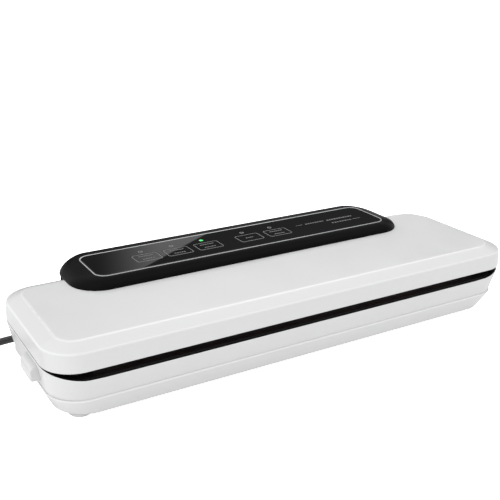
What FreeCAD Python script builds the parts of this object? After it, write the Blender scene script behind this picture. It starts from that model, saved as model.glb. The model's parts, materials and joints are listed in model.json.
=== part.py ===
"""Countertop vacuum sealer: hinged lid with a control housing over a base that holds the pump.

Row frame in millimetres: X along the length, Y from the front (-) to the back (+), Z up, and
the origin on the table under the middle of the machine.
"""
import FreeCAD
import Part
import Sketcher
import math
import os

from FreeCAD import Vector

doc = FreeCAD.newDocument("vacuum_sealer")
sheet = doc.addObject("Spreadsheet::Sheet", "Sizes")
pieces = []


# ---------------------------------------------------------------- sizes bound to the sheet
class Dim(float):
    """A number that also carries its expression over the sheet's cells."""

    def __new__(cls, value, text):
        made = float.__new__(cls, value)
        made.text = text
        return made

    def __add__(self, other):
        return Dim(float(self) + float(other), f"({self.text} + {words(other)})")

    def __radd__(self, other):
        return Dim(float(other) + float(self), f"({words(other)} + {self.text})")

    def __sub__(self, other):
        return Dim(float(self) - float(other), f"({self.text} - {words(other)})")

    def __rsub__(self, other):
        return Dim(float(other) - float(self), f"({words(other)} - {self.text})")

    def __mul__(self, other):
        return Dim(float(self) * float(other), f"({self.text} * {words(other)})")

    __rmul__ = __mul__

    def __truediv__(self, other):
        return Dim(float(self) / float(other), f"({self.text} / {words(other)})")

    def __neg__(self):
        return Dim(-float(self), f"(0 - {self.text})")


def words(number):
    return number.text if isinstance(number, Dim) else f"({float(number)})"


def cell(alias, value, note):
    row = len(sheet.getUsedCells()) // 3 + 1
    sheet.set(f"A{row}", note)
    sheet.set(f"B{row}", str(value))
    sheet.set(f"C{row}", alias)
    sheet.setAlias(f"B{row}", alias)
    return Dim(value, f"Sizes.{alias}")


def bind(thing, name, number):
    """Sets a property from a number, and ties it to the sheet when the number is a Dim."""
    if isinstance(number, Dim):
        thing.setExpression(name, number.text)
    elif "." in name:
        thing.setExpression(name, str(float(number)))
    else:
        setattr(thing, name, float(number))


# Shell of the base and the lid
HALF = cell("half_length", 190.0, "half length on the lid's shoulder line")
FRONT = cell("front_line", -67.85, "front of the shoulder line")
BACK = cell("back_line", 48.15, "back of the shoulder line")
CORNER = cell("corner_radius", 23.4, "corner radius seen from above")
FLARE = cell("lid_flare", 0.65, "how far the lid's lower edge stands outside its shoulder")
WALL = cell("wall", 2.4, "shell wall")
SOLE = cell("sole_height", 4.0, "underside of the base above the table")
SOLE_INSET = cell("sole_inset", 8.75, "how far the sole is drawn in")
SEAM = cell("case_seam", 18.8, "height of the seam between the two base cases")
SEAM_INSET = cell("seam_inset", 3.0, "how far that seam is drawn in")
CAVITY_TOP = cell("cavity_top", 31.4, "underside of the deck")
DECK = cell("deck_top", 33.9, "deck, and sill of the bag slot")
RIM = cell("rim_top", 39.3, "top of the base's rim")
LID_FOOT = cell("lid_lower_edge", 40.0, "lower edge of the lid")
SHOULDER = cell("lid_shoulder", 52.9, "height of the lid's shoulder line")
LID_TOP = cell("lid_top", 56.6, "flat top of the lid")
BEVEL = cell("lid_bevel", 10.84, "width of the lid's bevel band")
SLOT_HALF = cell("slot_half_length", 165.0, "half length of the level part of the bag slot")
SLOT_RAMP = cell("slot_ramp", 22.0, "length of the ramp at each end of the bag slot")
SLOT_DEPTH = cell("slot_depth", 18.5, "how far the slot is open behind the front line")
FOOT = cell("foot_radius", 8.2, "radius of a foot")
FOOT_PAD = cell("foot_pad", 1.2, "thickness of a foot's pad")
FOOT_X = cell("foot_place", 166.5, "middle of a foot")
FOOT_FRONT = cell("foot_front_row", -46.0, "middle of the front feet")
FOOT_REAR = cell("foot_rear_row", 26.0, "middle of the rear feet")

# Rear spine and hinge
SPINE_HALF = cell("spine_half_length", 145.0, "half length of the base's rear spine")
SPINE_BACK = cell("spine_back", 68.5, "rear face of the spine")
SPINE_CORNER = cell("spine_corner", 6.0, "corner radius of the spine")
HINGE_Y = cell("hinge_depth", 64.5, "hinge axis, towards the back")
HINGE_Z = cell("hinge_height", 40.0, "hinge axis, above the table")
BARREL = cell("hinge_barrel_radius", 3.2, "hinge knuckles")
PIN = cell("hinge_pin_radius", 1.2, "hinge pins")
PIN_PLAY = cell("hinge_pin_play", 0.05, "radial clearance of the lid's knuckles on the pins")
RELIEF = cell("hinge_relief", 4.9, "radius cleared round the hinge axis")
EAR_INNER = cell("hinge_inner_ear", 103.0, "middle of the inner ears")
EAR_OUTER = cell("hinge_outer_ear", 131.0, "middle of the outer ears")
EAR = cell("hinge_ear_width", 6.0, "width of an ear")

# Control housing
COVER_HALF = cell("rear_cover_half_length", 144.3, "half length of the lid's rear cover")
COVER_BACK = cell("rear_cover_back", 67.4, "rear face of the rear cover")
COVER_FOOT = cell("rear_cover_foot", 43.7, "underside of the rear cover")
COVER_CORNER = cell("rear_cover_corner", 23.2, "corner radius of the rear cover")
COVER_WALL = cell("rear_cover_wall", 2.0, "wall of the rear cover")
CAP_HALF = cell("housing_half_length", 144.8, "half length of the housing where it meets the lid")
CAP_FRONT = cell("housing_front", 5.6, "front of the housing where it meets the lid")
CAP_BACK = cell("housing_back", 68.5, "rear of the housing")
CAP_TOP = cell("housing_top", 63.9, "top of the housing round the panel")
PANEL_HALF = cell("panel_half_length", 127.4, "half length of the glossy panel")
PANEL_FRONT = cell("panel_front", 14.1, "front of the panel")
PANEL_BACK = cell("panel_back", 57.6, "rear of the panel")
PANEL_CORNER = cell("panel_corner", 8.0, "corner radius of the panel")
PANEL_TOP = cell("panel_top", 64.2, "face of the panel")
TRIM = cell("trim_width", 0.9, "silver line round the panel")
KEY_LONG = cell("key_length", 21.5, "length of a key")
KEY_DEEP = cell("key_depth", 14.8, "depth of a key")
KEY_Y = cell("key_row", 32.8, "middle of the row of keys")
KEY_TRAVEL = cell("key_travel", 0.5, "travel of a key")
KEY_GAP = cell("key_gap", 0.15, "gap round a key")
LIGHT_Y = cell("light_row", 45.3, "row of indicator lights")
LIGHT = cell("light_radius", 1.3, "radius of an indicator light")
KEY_CORNER = cell("key_corner", 2.2, "corner radius of a key")
KEY_PLACES = (-82.0, -56.4, -30.4, 6.4, 32.7)
KEY_NAMES = ("key_power", "key_vacuum", "key_seal", "key_pulse", "key_mode")
BOARD_DROP = cell("control_board_drop", 5.6, "control board below the housing's top")
# Profile of the housing: height, how far it is drawn in, corner radius.
CAP_STEPS = ((59.8, 2.6, 22.0), (61.9, 6.2, 18.5), (63.3, 10.6, 14.0), (CAP_TOP, 14.2, 11.0))
CAP_CORNER = cell("housing_corner", 23.7, "corner radius of the housing where it meets the lid")

# Sealing side
BAR_HALF = cell("bar_half_length", 160.0, "half length of the heating bar")
BAR_Y = cell("bar_row", -52.0, "middle of the heating bar")
BAR_WIDTH = cell("bar_width", 10.0, "width of the heating bar")
BAR_TOP = cell("bar_top", 35.4, "top of the heating bar")
FOIL = cell("foil_thickness", 0.3, "thickness of the heating element and of the tape over it")
PRESS_FOOT = cell("press_foot", 36.3, "underside of the lid's pressing strip")
LINER = cell("liner_foot", 41.5, "underside of the lid's liner")
LINER_WALL = cell("liner_wall", 2.0, "thickness of the liner")
TROUGH_HALF = cell("trough_half_length", 143.0, "half length of the vacuum trough")
TROUGH_FRONT = cell("trough_front", -36.8, "front of the trough")
TROUGH_BACK = cell("trough_back", -14.2, "back of the trough")
TROUGH_FOOT = cell("trough_foot", 19.0, "underside of the trough")
SKIN = cell("moulded_skin", 1.6, "wall of the trough and other inner mouldings")
GASKET_TOP = cell("gasket_top", 36.3, "top of the lower gasket")
GASKET_GAP = cell("gasket_gap", 0.3, "gap between the two gaskets")
GASKET = cell("gasket_width", 5.5, "width of a gasket")

# Release buttons and latch
BUTTON_FRONT = cell("button_front", -39.6, "front end of a release button")
BUTTON_BACK = cell("button_back", -18.1, "rear end of a release button")
BUTTON_FOOT = cell("button_foot", 25.9, "underside of a release button")
BUTTON_TOP = cell("button_top", 36.7, "top of a release button")
BUTTON_REACH = cell("button_reach", 195.2, "outermost edge of a release button")
BUTTON_GAP = cell("button_gap", 0.3, "gap round a release button")
HOOK_X = cell("hook_place", 172.0, "middle of a latch hook")
HOOK_Y = cell("hook_row", -28.8, "middle of a latch hook, in depth")
SLIDER = cell("slider_foot", 28.6, "underside of the button's slider")

# Pump, board and screws inside the base
PUMP_Y = cell("pump_depth", 17.0, "axis of the pump motor")
PUMP_Z = cell("pump_height", 18.9, "axis of the pump motor, above the table")
MOTOR_X = cell("motor_place", 38.0, "near end of the pump motor")
MOTOR_LONG = cell("motor_length", 32.0, "length of the motor can")
SHAFT = cell("shaft_radius", 1.5, "motor shaft")
BOARD_FOOT = cell("board_foot", 10.4, "underside of the main board")
BOARD = cell("board_thickness", 1.6, "thickness of the main board")
PORT_X = cell("port_place", 112.0, "suction port of the trough")
SENSOR_Y = cell("sensor_row", 5.0, "row of the lid's magnet and the reed switch")
SCREW = cell("case_screw_radius", 1.4, "case screws")
SCREW_PLACES = [(x, y) for x in (-150.0, 0.0, 150.0) for y in (-50.0, 27.0)]

# Mains cord
CORD = cell("cord_diameter", 5.4, "mains cord")
CORD_Y = cell("cord_exit_depth", 58.15, "cord exit, towards the back")
CORD_Z = cell("cord_exit_height", 10.0, "cord exit, above the table")
RELIEF_LONG = cell("strain_relief_length", 26.0, "strain relief outside the case")
COIL_X = cell("coil_place", -272.0, "middle of the coiled cord")
COIL_Y = cell("coil_depth", 80.0, "middle of the coiled cord, in depth")
COIL_OUTER = cell("coil_outer_radius", 38.6, "outside of the coil")
COIL_INNER = cell("coil_inner_radius", 16.2, "inside of the coil")
COIL_FOOT = cell("coil_foot", 0.5, "underside of the coil, on its tie")
COIL_TOP = cell("coil_top", 11.5, "top of the coil")


# ---------------------------------------------------------------- building helpers
def place(thing, x, y, z):
    for axis, number in zip("xyz", (x, y, z)):
        bind(thing, f"Placement.Base.{axis}", number)
    return thing


def block(low, high, name="Block"):
    """A box between two corners."""
    box = doc.addObject("Part::Box", name)
    for side, one, other in zip(("Length", "Width", "Height"), low, high):
        bind(box, side, other - one)
    return place(box, *low)


def rod(radius, length, start, along="z", name="Rod"):
    """A cylinder that starts at a point and runs along an axis."""
    cylinder = doc.addObject("Part::Cylinder", name)
    turns = {
        "x": FreeCAD.Rotation(Vector(0, 1, 0), 90),
        "y": FreeCAD.Rotation(Vector(1, 0, 0), -90),
        "z": FreeCAD.Rotation(),
    }
    cylinder.Placement = FreeCAD.Placement(Vector(), turns[along])
    bind(cylinder, "Radius", radius)
    bind(cylinder, "Height", length)
    return place(cylinder, *start)


def rounded(thing, radius, along="z", name="Rounded"):
    """Rounds the straight edges of a solid that run along one axis."""
    doc.recompute()
    index = "xyz".index(along)
    picked = []
    for number, edge in enumerate(thing.Shape.Edges, 1):
        if isinstance(edge.Curve, Part.Line) and abs(edge.Curve.Direction[index]) > 0.999:
            picked.append((number, float(radius), float(radius)))
    fillet = doc.addObject("Part::Fillet", name)
    fillet.Base = thing
    fillet.Edges = picked
    return fillet


def fuse(things, name="Joined"):
    joined = doc.addObject("Part::MultiFuse", name)
    joined.Shapes = things
    return joined


def cut(base, tools, name="Cut"):
    result = doc.addObject("Part::Cut", name)
    result.Base = base
    result.Tool = tools[0] if len(tools) == 1 else fuse(tools, "Tools")
    return result


def group(things, name="Set"):
    """Identical loose pieces in one node."""
    compound = doc.addObject("Part::Compound", name)
    compound.Links = things
    return compound


def keep(thing, label):
    """Names a finished sub-part."""
    thing.Label = label
    pieces.append(thing)
    return thing


def pair(make, left, right):
    """Makes a left and a right sub-part; make gets -1 or 1 for the side."""
    keep(make(-1), left)
    keep(make(1), right)


def span(side, near, far):
    """The low and high ends, along X, of a stretch that is mirrored to one side."""
    return (near, far) if side > 0 else (-far, -near)


def origin_plane(body, role):
    return next(plane for plane in body.Origin.OriginFeatures if plane.Role == role)


def sketch_on(body, role, offset, name):
    sketch = body.newObject("Sketcher::SketchObject", name)
    sketch.AttachmentSupport = (origin_plane(body, role), [""])
    sketch.MapMode = "FlatFace"
    bind(sketch, "AttachmentOffset.Base.z", offset)
    return sketch


def tie(sketch, kind, number, *where):
    """Adds a dimension to a sketch and binds it to the sheet."""
    index = sketch.addConstraint(Sketcher.Constraint(kind, *where, float(number)))
    if isinstance(number, Dim):
        sketch.setExpression(f"Constraints[{index}]", number.text)


def outline(body, contour, height, name="Outline"):
    """A rounded rectangle (left, right, front, back, corner radius) at a height."""
    left, right, front, back, radius = contour
    sketch = sketch_on(body, "XY_Plane", height, name)
    a, b, c, d, r = (float(number) for number in contour)
    corners = (
        (a + r, c + r, math.pi, 1.5 * math.pi),
        (b - r, c + r, 1.5 * math.pi, 2 * math.pi),
        (b - r, d - r, 0, 0.5 * math.pi),
        (a + r, d - r, 0.5 * math.pi, math.pi),
    )
    sides = (
        (a + r, c, b - r, c),
        (b, c + r, b, d - r),
        (b - r, d, a + r, d),
        (a, d - r, a, c + r),
    )
    for (cx, cy, start, end), (x0, y0, x1, y1) in zip(corners, sides):
        circle = Part.Circle(Vector(cx, cy, 0), Vector(0, 0, 1), r)
        sketch.addGeometry(Part.ArcOfCircle(circle, start, end), False)
        sketch.addGeometry(Part.LineSegment(Vector(x0, y0, 0), Vector(x1, y1, 0)), False)
    for corner in range(4):
        arc = 2 * corner
        sketch.addConstraint(Sketcher.Constraint("Tangent", arc, 2, arc + 1, 1))
        sketch.addConstraint(Sketcher.Constraint("Tangent", arc + 1, 2, (arc + 2) % 8, 1))
        direction = "Horizontal" if corner % 2 == 0 else "Vertical"
        sketch.addConstraint(Sketcher.Constraint(direction, arc + 1))
        if corner:
            sketch.addConstraint(Sketcher.Constraint("Equal", 0, arc))
    tie(sketch, "Radius", radius, 0)
    tie(sketch, "DistanceX", left, -1, 1, 7, 1)
    tie(sketch, "DistanceX", right, -1, 1, 3, 1)
    tie(sketch, "DistanceY", front, -1, 1, 1, 1)
    tie(sketch, "DistanceY", back, -1, 1, 5, 1)
    return sketch


def polygon(body, points, role="XY_Plane", offset=0.0, name="Profile"):
    """A closed outline of straight lines; each point is tied to the sketch's origin."""
    sketch = sketch_on(body, role, offset, name)
    count = len(points)
    for index, (x, y) in enumerate(points):
        x1, y1 = points[(index + 1) % count]
        start = Vector(float(x), float(y), 0)
        end = Vector(float(x1), float(y1), 0)
        sketch.addGeometry(Part.LineSegment(start, end), False)
    for index, (x, y) in enumerate(points):
        sketch.addConstraint(Sketcher.Constraint("Coincident", index, 2, (index + 1) % count, 1))
        tie(sketch, "DistanceX", x, -1, 1, index, 1)
        tie(sketch, "DistanceY", y, -1, 1, index, 1)
    return sketch


def contour(inset, radius=None):
    """The plan of the machine, drawn in by an inset."""
    size = CORNER if radius is None else radius
    return (inset - HALF, HALF - inset, FRONT + inset, BACK - inset, size)


def loft(body, sections, subtract=False):
    kind = "PartDesign::SubtractiveLoft" if subtract else "PartDesign::AdditiveLoft"
    sketches = [outline(body, shape, height) for shape, height in sections]
    feature = body.newObject(kind, "Loft")
    feature.Profile = (sketches[0], [""])
    feature.Sections = [(sketch, [""]) for sketch in sketches[1:]]
    feature.Ruled = True
    return feature


def pad(body, sketch, length, kind="Pad", backwards=False, both=False):
    feature = body.newObject(f"PartDesign::{kind}", kind)
    feature.Profile = (sketch, [""])
    bind(feature, "Length", length)
    feature.Reversed = backwards
    if both:
        feature.SideType = "Symmetric"
    return feature


def new_body(name):
    return doc.addObject("PartDesign::Body", name)


def plate(shape, foot, top, name="Plate"):
    """A flat plate with rounded corners."""
    body = new_body(name)
    pad(body, outline(body, shape, foot), top - foot)
    return body


def band(outer, width, foot, top, name="Band"):
    """A flat closed band that follows a rounded rectangle."""
    body = new_body(name)
    left, right, front, back, radius = outer
    pad(body, outline(body, outer, foot), top - foot)
    inner = (left + width, right - width, front + width, back - width, radius - width)
    pad(body, outline(body, inner, top), top - foot, "Pocket")
    return body


def turned(points, start, name="Turned"):
    """A round piece: (distance, radius) along +X from a start point, closed on its axis."""
    body = new_body(name)
    profile = [(points[0][0], 0.0)] + list(points) + [(points[-1][0], 0.0)]
    sketch = polygon(body, profile)
    feature = body.newObject("PartDesign::Revolution", "Revolution")
    feature.Profile = (sketch, [""])
    feature.ReferenceAxis = (sketch, ["H_Axis"])
    feature.Angle = 360.0
    return place(body, *start)


# ---------------------------------------------------------------- base
def spine(inset=0.0):
    """Plan of the rear spine, which starts inside the main case."""
    return (inset - SPINE_HALF, SPINE_HALF - inset, 30.0, SPINE_BACK - inset, SPINE_CORNER - inset)


def base_top_case():
    body = new_body("TopCase")
    loft(body, [(contour(SEAM_INSET), SEAM), (contour(-FLARE), RIM)])
    pad(body, outline(body, spine(), SEAM), RIM - SEAM)
    inner = [(contour(SEAM_INSET + WALL), SEAM), (contour(WALL), CAVITY_TOP)]
    loft(body, inner, subtract=True)
    pad(body, outline(body, spine(WALL), SEAM), CAVITY_TOP - SEAM, "Pocket", backwards=True)
    pad(body, outline(body, contour(WALL), RIM), RIM - CAVITY_TOP, "Pocket")
    ramp = SLOT_HALF + SLOT_RAMP
    above = RIM + 2.0
    ahead = 3.5
    profile = [
        (-ramp, RIM),
        (-SLOT_HALF, DECK),
        (SLOT_HALF, DECK),
        (ramp, RIM),
        (ramp, above),
        (-ramp, above),
    ]
    sketch = polygon(body, profile, "XZ_Plane", ahead - FRONT)
    pad(body, sketch, SLOT_DEPTH + ahead, "Pocket")
    openings = [rod(RELIEF, 2 * COVER_HALF + 2, (-COVER_HALF - 1, HINGE_Y, HINGE_Z), "x")]
    for side in (-1, 1):
        low, high = span(side, HALF - 6.5, HALF + 4.0)
        window = ((low, BUTTON_FRONT - BUTTON_GAP, BUTTON_FOOT - BUTTON_GAP),
                  (high, BUTTON_BACK + BUTTON_GAP, BUTTON_TOP + BUTTON_GAP))
        openings.append(block(*window))
    case = cut(body, openings)
    ears = []
    for place_x in (-EAR_OUTER, -EAR_INNER, EAR_INNER, EAR_OUTER):
        low = place_x - EAR / 2
        ears.append(rod(BARREL, EAR, (low, HINGE_Y, HINGE_Z), "x"))
        ears.append(block((low, HINGE_Y - BARREL, 33.0), (low + EAR, HINGE_Y + BARREL, HINGE_Z)))
    bores = [rod(PIN, 2 * COVER_HALF, (-COVER_HALF, HINGE_Y, HINGE_Z), "x")]
    keep(cut(fuse([case] + ears), bores), "base_top_case")


def base_deck():
    """Dark plate inside the rim, with openings for the heating bar, the trough and the hooks."""
    under = CAVITY_TOP - 1.0
    over = DECK + 1.0
    half_bar = BAR_WIDTH / 2 + 0.2
    bar_end = BAR_HALF + 1
    gap = 0.4
    trough_end = TROUGH_HALF + gap
    openings = [
        block((-bar_end, BAR_Y - half_bar, under), (bar_end, BAR_Y + half_bar, over)),
        block((-trough_end, TROUGH_FRONT - gap, under), (trough_end, TROUGH_BACK + gap, over)),
    ]
    button_low = BUTTON_FRONT - BUTTON_GAP
    button_high = BUTTON_BACK + BUTTON_GAP
    for side in (-1, 1):
        low, high = span(side, HOOK_X - 5.5, HOOK_X + 6.0)
        openings.append(block((low, HOOK_Y - 6.5, under), (high, HOOK_Y + 6.5, over)))
        low, high = span(side, HALF - 9.6, HALF)
        openings.append(block((low, button_low, under), (high, button_high, over)))
    keep(cut(plate(contour(WALL), CAVITY_TOP, DECK), openings), "base_deck")


def base_bottom_case():
    body = new_body("BottomCase")
    loft(body, [(contour(SOLE_INSET), SOLE), (contour(SEAM_INSET), SEAM)])
    pad(body, outline(body, spine(), SOLE), SEAM - SOLE)
    floor = SOLE + WALL
    inner = [(contour(SOLE_INSET + WALL), floor), (contour(SEAM_INSET + WALL), SEAM)]
    loft(body, inner, subtract=True)
    pad(body, outline(body, spine(WALL), SEAM), SEAM - floor, "Pocket")
    root = floor - 0.2
    post_places = [(x, y) for x in (-124.0, -22.0) for y in (-2.0, 36.0)]
    posts = [rod(2.6, BOARD_FOOT - root, (x, y, root)) for x, y in post_places]
    bosses = [rod(3.4, 8.2, (x, y, root)) for x, y in SCREW_PLACES]
    bores = [rod(SCREW, 30.0, (x, y, floor)) for x, y in SCREW_PLACES]
    face = MOTOR_X + MOTOR_LONG
    cradle = block((MOTOR_X + 6, PUMP_Y - 13, root), (face - 6, PUMP_Y + 13, 14.0))
    bores.append(rod(12.0, MOTOR_LONG, (MOTOR_X, PUMP_Y, PUMP_Z), "x"))
    bores.append(rod(4.0, 8.0, (-SPINE_HALF - 2, CORD_Y, CORD_Z), "x"))
    bores.append(rod(5.1, 2.2, (WALL - SPINE_HALF, CORD_Y, CORD_Z), "x"))
    stops = [spring_stop(side) for side in (-1, 1)]
    keep(cut(fuse([body, cradle] + posts + bosses + stops), bores), "base_bottom_case")


def feet():
    """Four round feet, each with a narrower body above its pad."""
    for side, across in ((-1, "left"), (1, "right")):
        for y, along in ((FOOT_FRONT, "front"), (FOOT_REAR, "rear")):
            sole = rod(FOOT, FOOT_PAD, (FOOT_X * side, y, 0.0))
            body = rod(FOOT - 0.5, SOLE - FOOT_PAD, (FOOT_X * side, y, FOOT_PAD))
            keep(fuse([sole, body]), f"foot_{along}_{across}")


def hinge_pins():
    length = EAR_OUTER - EAR_INNER + EAR
    lows = [span(side, EAR_INNER - EAR / 2, EAR_OUTER + EAR / 2)[0] for side in (-1, 1)]
    keep(group([rod(PIN, length, (low, HINGE_Y, HINGE_Z), "x") for low in lows]), "hinge_pins")


def case_screws():
    """Screws that hold the two base cases together, driven from below into bosses."""
    keep(group([rod(SCREW, 16.0, (x, y, SOLE + WALL)) for x, y in SCREW_PLACES]), "case_screws")


# ---------------------------------------------------------------- sealing side of the base
def heating_bar():
    bar = block((-BAR_HALF, BAR_Y - BAR_WIDTH / 2, 25.0), (BAR_HALF, BAR_Y + BAR_WIDTH / 2, BAR_TOP))
    relief = [block((-BAR_HALF + 3, BAR_Y - 3.4, 24.0), (BAR_HALF - 3, BAR_Y + 3.4, 32.6))]
    keep(cut(bar, relief), "heating_bar")
    keep(block((2 - BAR_HALF, BAR_Y - 2.5, BAR_TOP), (BAR_HALF - 2, BAR_Y + 2.5, BAR_TOP + FOIL)),
         "heating_element")
    tape_foot = BAR_TOP + FOIL
    keep(block((1 - BAR_HALF, BAR_Y - 4.6, tape_foot), (BAR_HALF - 1, BAR_Y + 4.6, tape_foot + FOIL)),
         "release_tape")


def vacuum_trough():
    """Trough that hangs in the deck by its flange, with a suction spigot in its floor."""
    body = new_body("Trough")
    flange = (-TROUGH_HALF - 6.2, TROUGH_HALF + 6.2, TROUGH_FRONT - 4.2, TROUGH_BACK + 4.2, 9.0)
    shape = (-TROUGH_HALF, TROUGH_HALF, TROUGH_FRONT, TROUGH_BACK, 6.0)
    hollow = (SKIN - TROUGH_HALF, TROUGH_HALF - SKIN, TROUGH_FRONT + SKIN, TROUGH_BACK - SKIN, 4.4)
    pad(body, outline(body, shape, TROUGH_FOOT), DECK - TROUGH_FOOT)
    pad(body, outline(body, flange, DECK), 1.0)
    top = DECK + 1.0
    pad(body, outline(body, hollow, top), top - TROUGH_FOOT - SKIN, "Pocket")
    middle = (TROUGH_FRONT + TROUGH_BACK) / 2
    spigot = rod(3.4, 5.0, (PORT_X, middle, TROUGH_FOOT - 5.0))
    port = rod(1.9, 8.0, (PORT_X, middle, TROUGH_FOOT - 6.0))
    keep(cut(fuse([body, spigot]), [port]), "vacuum_trough")
    keep(rod(6.0, 1.6, (PORT_X, middle, TROUGH_FOOT + SKIN)), "port_filter")
    ring = (-TROUGH_HALF - 5.6, TROUGH_HALF + 5.6, TROUGH_FRONT - 3.6, TROUGH_BACK + 3.6, 9.0)
    keep(band(ring, GASKET, top, GASKET_TOP), "lower_gasket")
    keep(band(ring, GASKET, GASKET_TOP + GASKET_GAP, LINER), "upper_gasket")


# ---------------------------------------------------------------- pump, valve and electronics
def pump():
    face = MOTOR_X + MOTOR_LONG
    can = rod(12.0, MOTOR_LONG, (MOTOR_X, PUMP_Y, PUMP_Z), "x")
    bore = rod(SHAFT + 0.06, MOTOR_LONG - 3.0, (MOTOR_X + 4.0, PUMP_Y, PUMP_Z), "x")
    keep(cut(can, [bore]), "pump_motor")
    shaft = rod(SHAFT, MOTOR_LONG + 3.0, (MOTOR_X + 6.0, PUMP_Y, PUMP_Z), "x")
    crank = rod(4.6, 4.0, (face + 2.5, PUMP_Y + 1.5, PUMP_Z), "x")
    keep(fuse([shaft, crank]), "pump_crank")
    head = block((face, PUMP_Y - 12, 7.4), (face + 30, PUMP_Y + 12, 30.6))
    chamber = rod(8.0, 14.0, (face, PUMP_Y, PUMP_Z), "x")
    cap = rod(9.5, 4.0, (face + 30, PUMP_Y, PUMP_Z), "x")
    outlet = rod(2.4, 9.0, (face + 24, PUMP_Y - 21, PUMP_Z + 6), "y")
    keep(cut(fuse([head, cap, outlet]), [chamber]), "pump_head")


def valve():
    coil = block((122.0, 8.0, SOLE + WALL), (140.0, 26.0, 24.0))
    keep(fuse([coil, rod(3.2, 4.0, (131.0, 17.0, 24.0))]), "release_valve")


def electronics():
    floor = SOLE + WALL
    top = BOARD_FOOT + BOARD
    keep(block((-128.0, -6.0, BOARD_FOOT), (-18.0, 40.0, top)), "main_board")
    core = block((-122.0, 0.0, top), (-82.0, 34.0, 30.2))
    winding = block((-116.0, -4.0, top + 3), (-88.0, 38.0, 27.6))
    keep(rounded(fuse([core, winding]), 0.8), "transformer")
    cans = [rod(radius, height, (x, y, top)) for x, y, radius, height in
            ((-68.0, 8.0, 6.5, 17.0), (-68.0, 26.0, 5.0, 14.0), (-54.0, 30.0, 4.0, 11.0))]
    keep(group(cans), "capacitors")
    keep(block((-46.0, 4.0, top), (-28.0, 19.0, 27.0)), "heater_relay")
    keep(block((-46.0, 24.0, top), (-26.0, 27.0, 29.0)), "heat_sink")
    keep(block((-150.0, -8.0, floor), (-132.0, 0.0, 17.0)), "thermal_fuse")
    keep(rod(2.0, 12.0, (-24.0, SENSOR_Y, CAVITY_TOP - 4.4), "x"), "reed_switch")


def hoses():
    face = MOTOR_X + MOTOR_LONG
    middle = (TROUGH_FRONT + TROUGH_BACK) / 2
    height = PUMP_Z + 6
    route = [(face + 24, PUMP_Y - 21, height), (face + 24, PUMP_Y - 27, height - 1.2),
             (98.5, PUMP_Y - 33, 15.0), (107.0, middle + 9.0, 10.6), (PORT_X, middle, 9.4)]
    joined = tube([Vector(*(float(v) for v in point)) for point in route], 2.6)
    riser = rod(3.4, 4.0, (PORT_X, middle, 10.0))
    hose = doc.addObject("Part::Feature", "Hose")
    hose.Shape = joined
    keep(fuse([hose, riser]), "vacuum_hose")


def tube(route, radius):
    """A round tube along straight runs joined by tangent arcs."""
    edges = []
    start = route[0]
    for before, corner, after in zip(route, route[1:], route[2:]):
        to_corner = (corner - before).normalize()
        onward = (after - corner).normalize()
        turn = to_corner.getAngle(onward)
        shorter = min((corner - before).Length, (after - corner).Length)
        reach = 0.45 * shorter
        bend = reach / math.tan(turn / 2)
        print(f"bend radius {bend:.1f} mm, turn {math.degrees(turn):.1f} degrees")
        arc_start = corner - to_corner * reach
        arc_end = corner + onward * reach
        chord = (onward - to_corner).normalize()
        middle = corner + chord * (bend / math.cos(turn / 2) - bend)
        edges.append(Part.LineSegment(start, arc_start).toShape())
        edges.append(Part.Arc(arc_start, middle, arc_end).toShape())
        start = arc_end
    edges.append(Part.LineSegment(start, route[-1]).toShape())
    path = Part.Wire(edges)
    heading = (route[1] - route[0]).normalize()
    ring = Part.Wire([Part.Circle(route[0], heading, float(radius)).toShape()])
    solid = path.makePipeShell([ring], True, False)
    expected = math.pi * float(radius) ** 2 * path.Length
    print(f"tube length {path.Length:.1f} mm, volume ratio {solid.Volume / expected:.4f}")
    return solid


# ---------------------------------------------------------------- release buttons
def release_button(side):
    """Side button with a wedge-shaped pad and a slider whose window the lid's hook passes."""
    body = new_body("Button")
    outer = BUTTON_REACH
    inner = HALF - 6.0
    flush = HALF + 0.6
    shape = [
        (inner, BUTTON_FOOT),
        (outer - 1.0, BUTTON_FOOT),
        (outer, BUTTON_FOOT + 1.2),
        (outer, BUTTON_TOP - 3.4),
        (outer - 1.3, BUTTON_TOP - 1.2),
        (flush, BUTTON_TOP),
        (inner, BUTTON_TOP),
    ]
    if side < 0:
        shape = [(-x, z) for x, z in reversed(shape)]
    sketch = polygon(body, shape, "XZ_Plane", -BUTTON_BACK)
    pad(body, sketch, BUTTON_BACK - BUTTON_FRONT)
    low, high = span(side, HOOK_X - 8.0, inner + 0.5)
    slider = block((low, BUTTON_FRONT + 2, SLIDER), (high, BUTTON_BACK - 2, SLIDER + 2))
    low, high = span(side, HOOK_X - 5.0, HOOK_X + 5.0)
    window = block((low, HOOK_Y - 5.5, SLIDER - 1), (high, HOOK_Y + 5.5, SLIDER + 3))
    low, high = span(side, HOOK_X - 12.0, HOOK_X - 8.0)
    lug = block((low, HOOK_Y - 3, SLIDER - 5), (high, HOOK_Y + 3, SLIDER + 2))
    return cut(fuse([body, slider, lug]), [window])


def button_spring(side):
    """Helical spring between the slider's lug and a wall of the bottom case."""
    coil = Part.makeHelix(2.0, 12.0, 2.2)
    ring = Part.Wire([Part.Circle(Vector(2.2, 0, 0), Vector(0, 1, 0), 0.3).toShape()])
    spring = doc.addObject("Part::Feature", "Spring")
    spring.Shape = Part.Wire(coil.Edges).makePipeShell([ring], True, True)
    near = HOOK_X - 24.7
    start = Vector(float(near if side > 0 else -near - 12.0), float(HOOK_Y), float(SLIDER - 1.9))
    spring.Placement = FreeCAD.Placement(start, FreeCAD.Rotation(Vector(0, 1, 0), 90))
    return spring


def spring_stop(side):
    low, high = span(side, HOOK_X - 27.5, HOOK_X - 25.2)
    return block((low, HOOK_Y - 4, SOLE + WALL - 0.2), (high, HOOK_Y + 4, 30.6))


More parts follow.
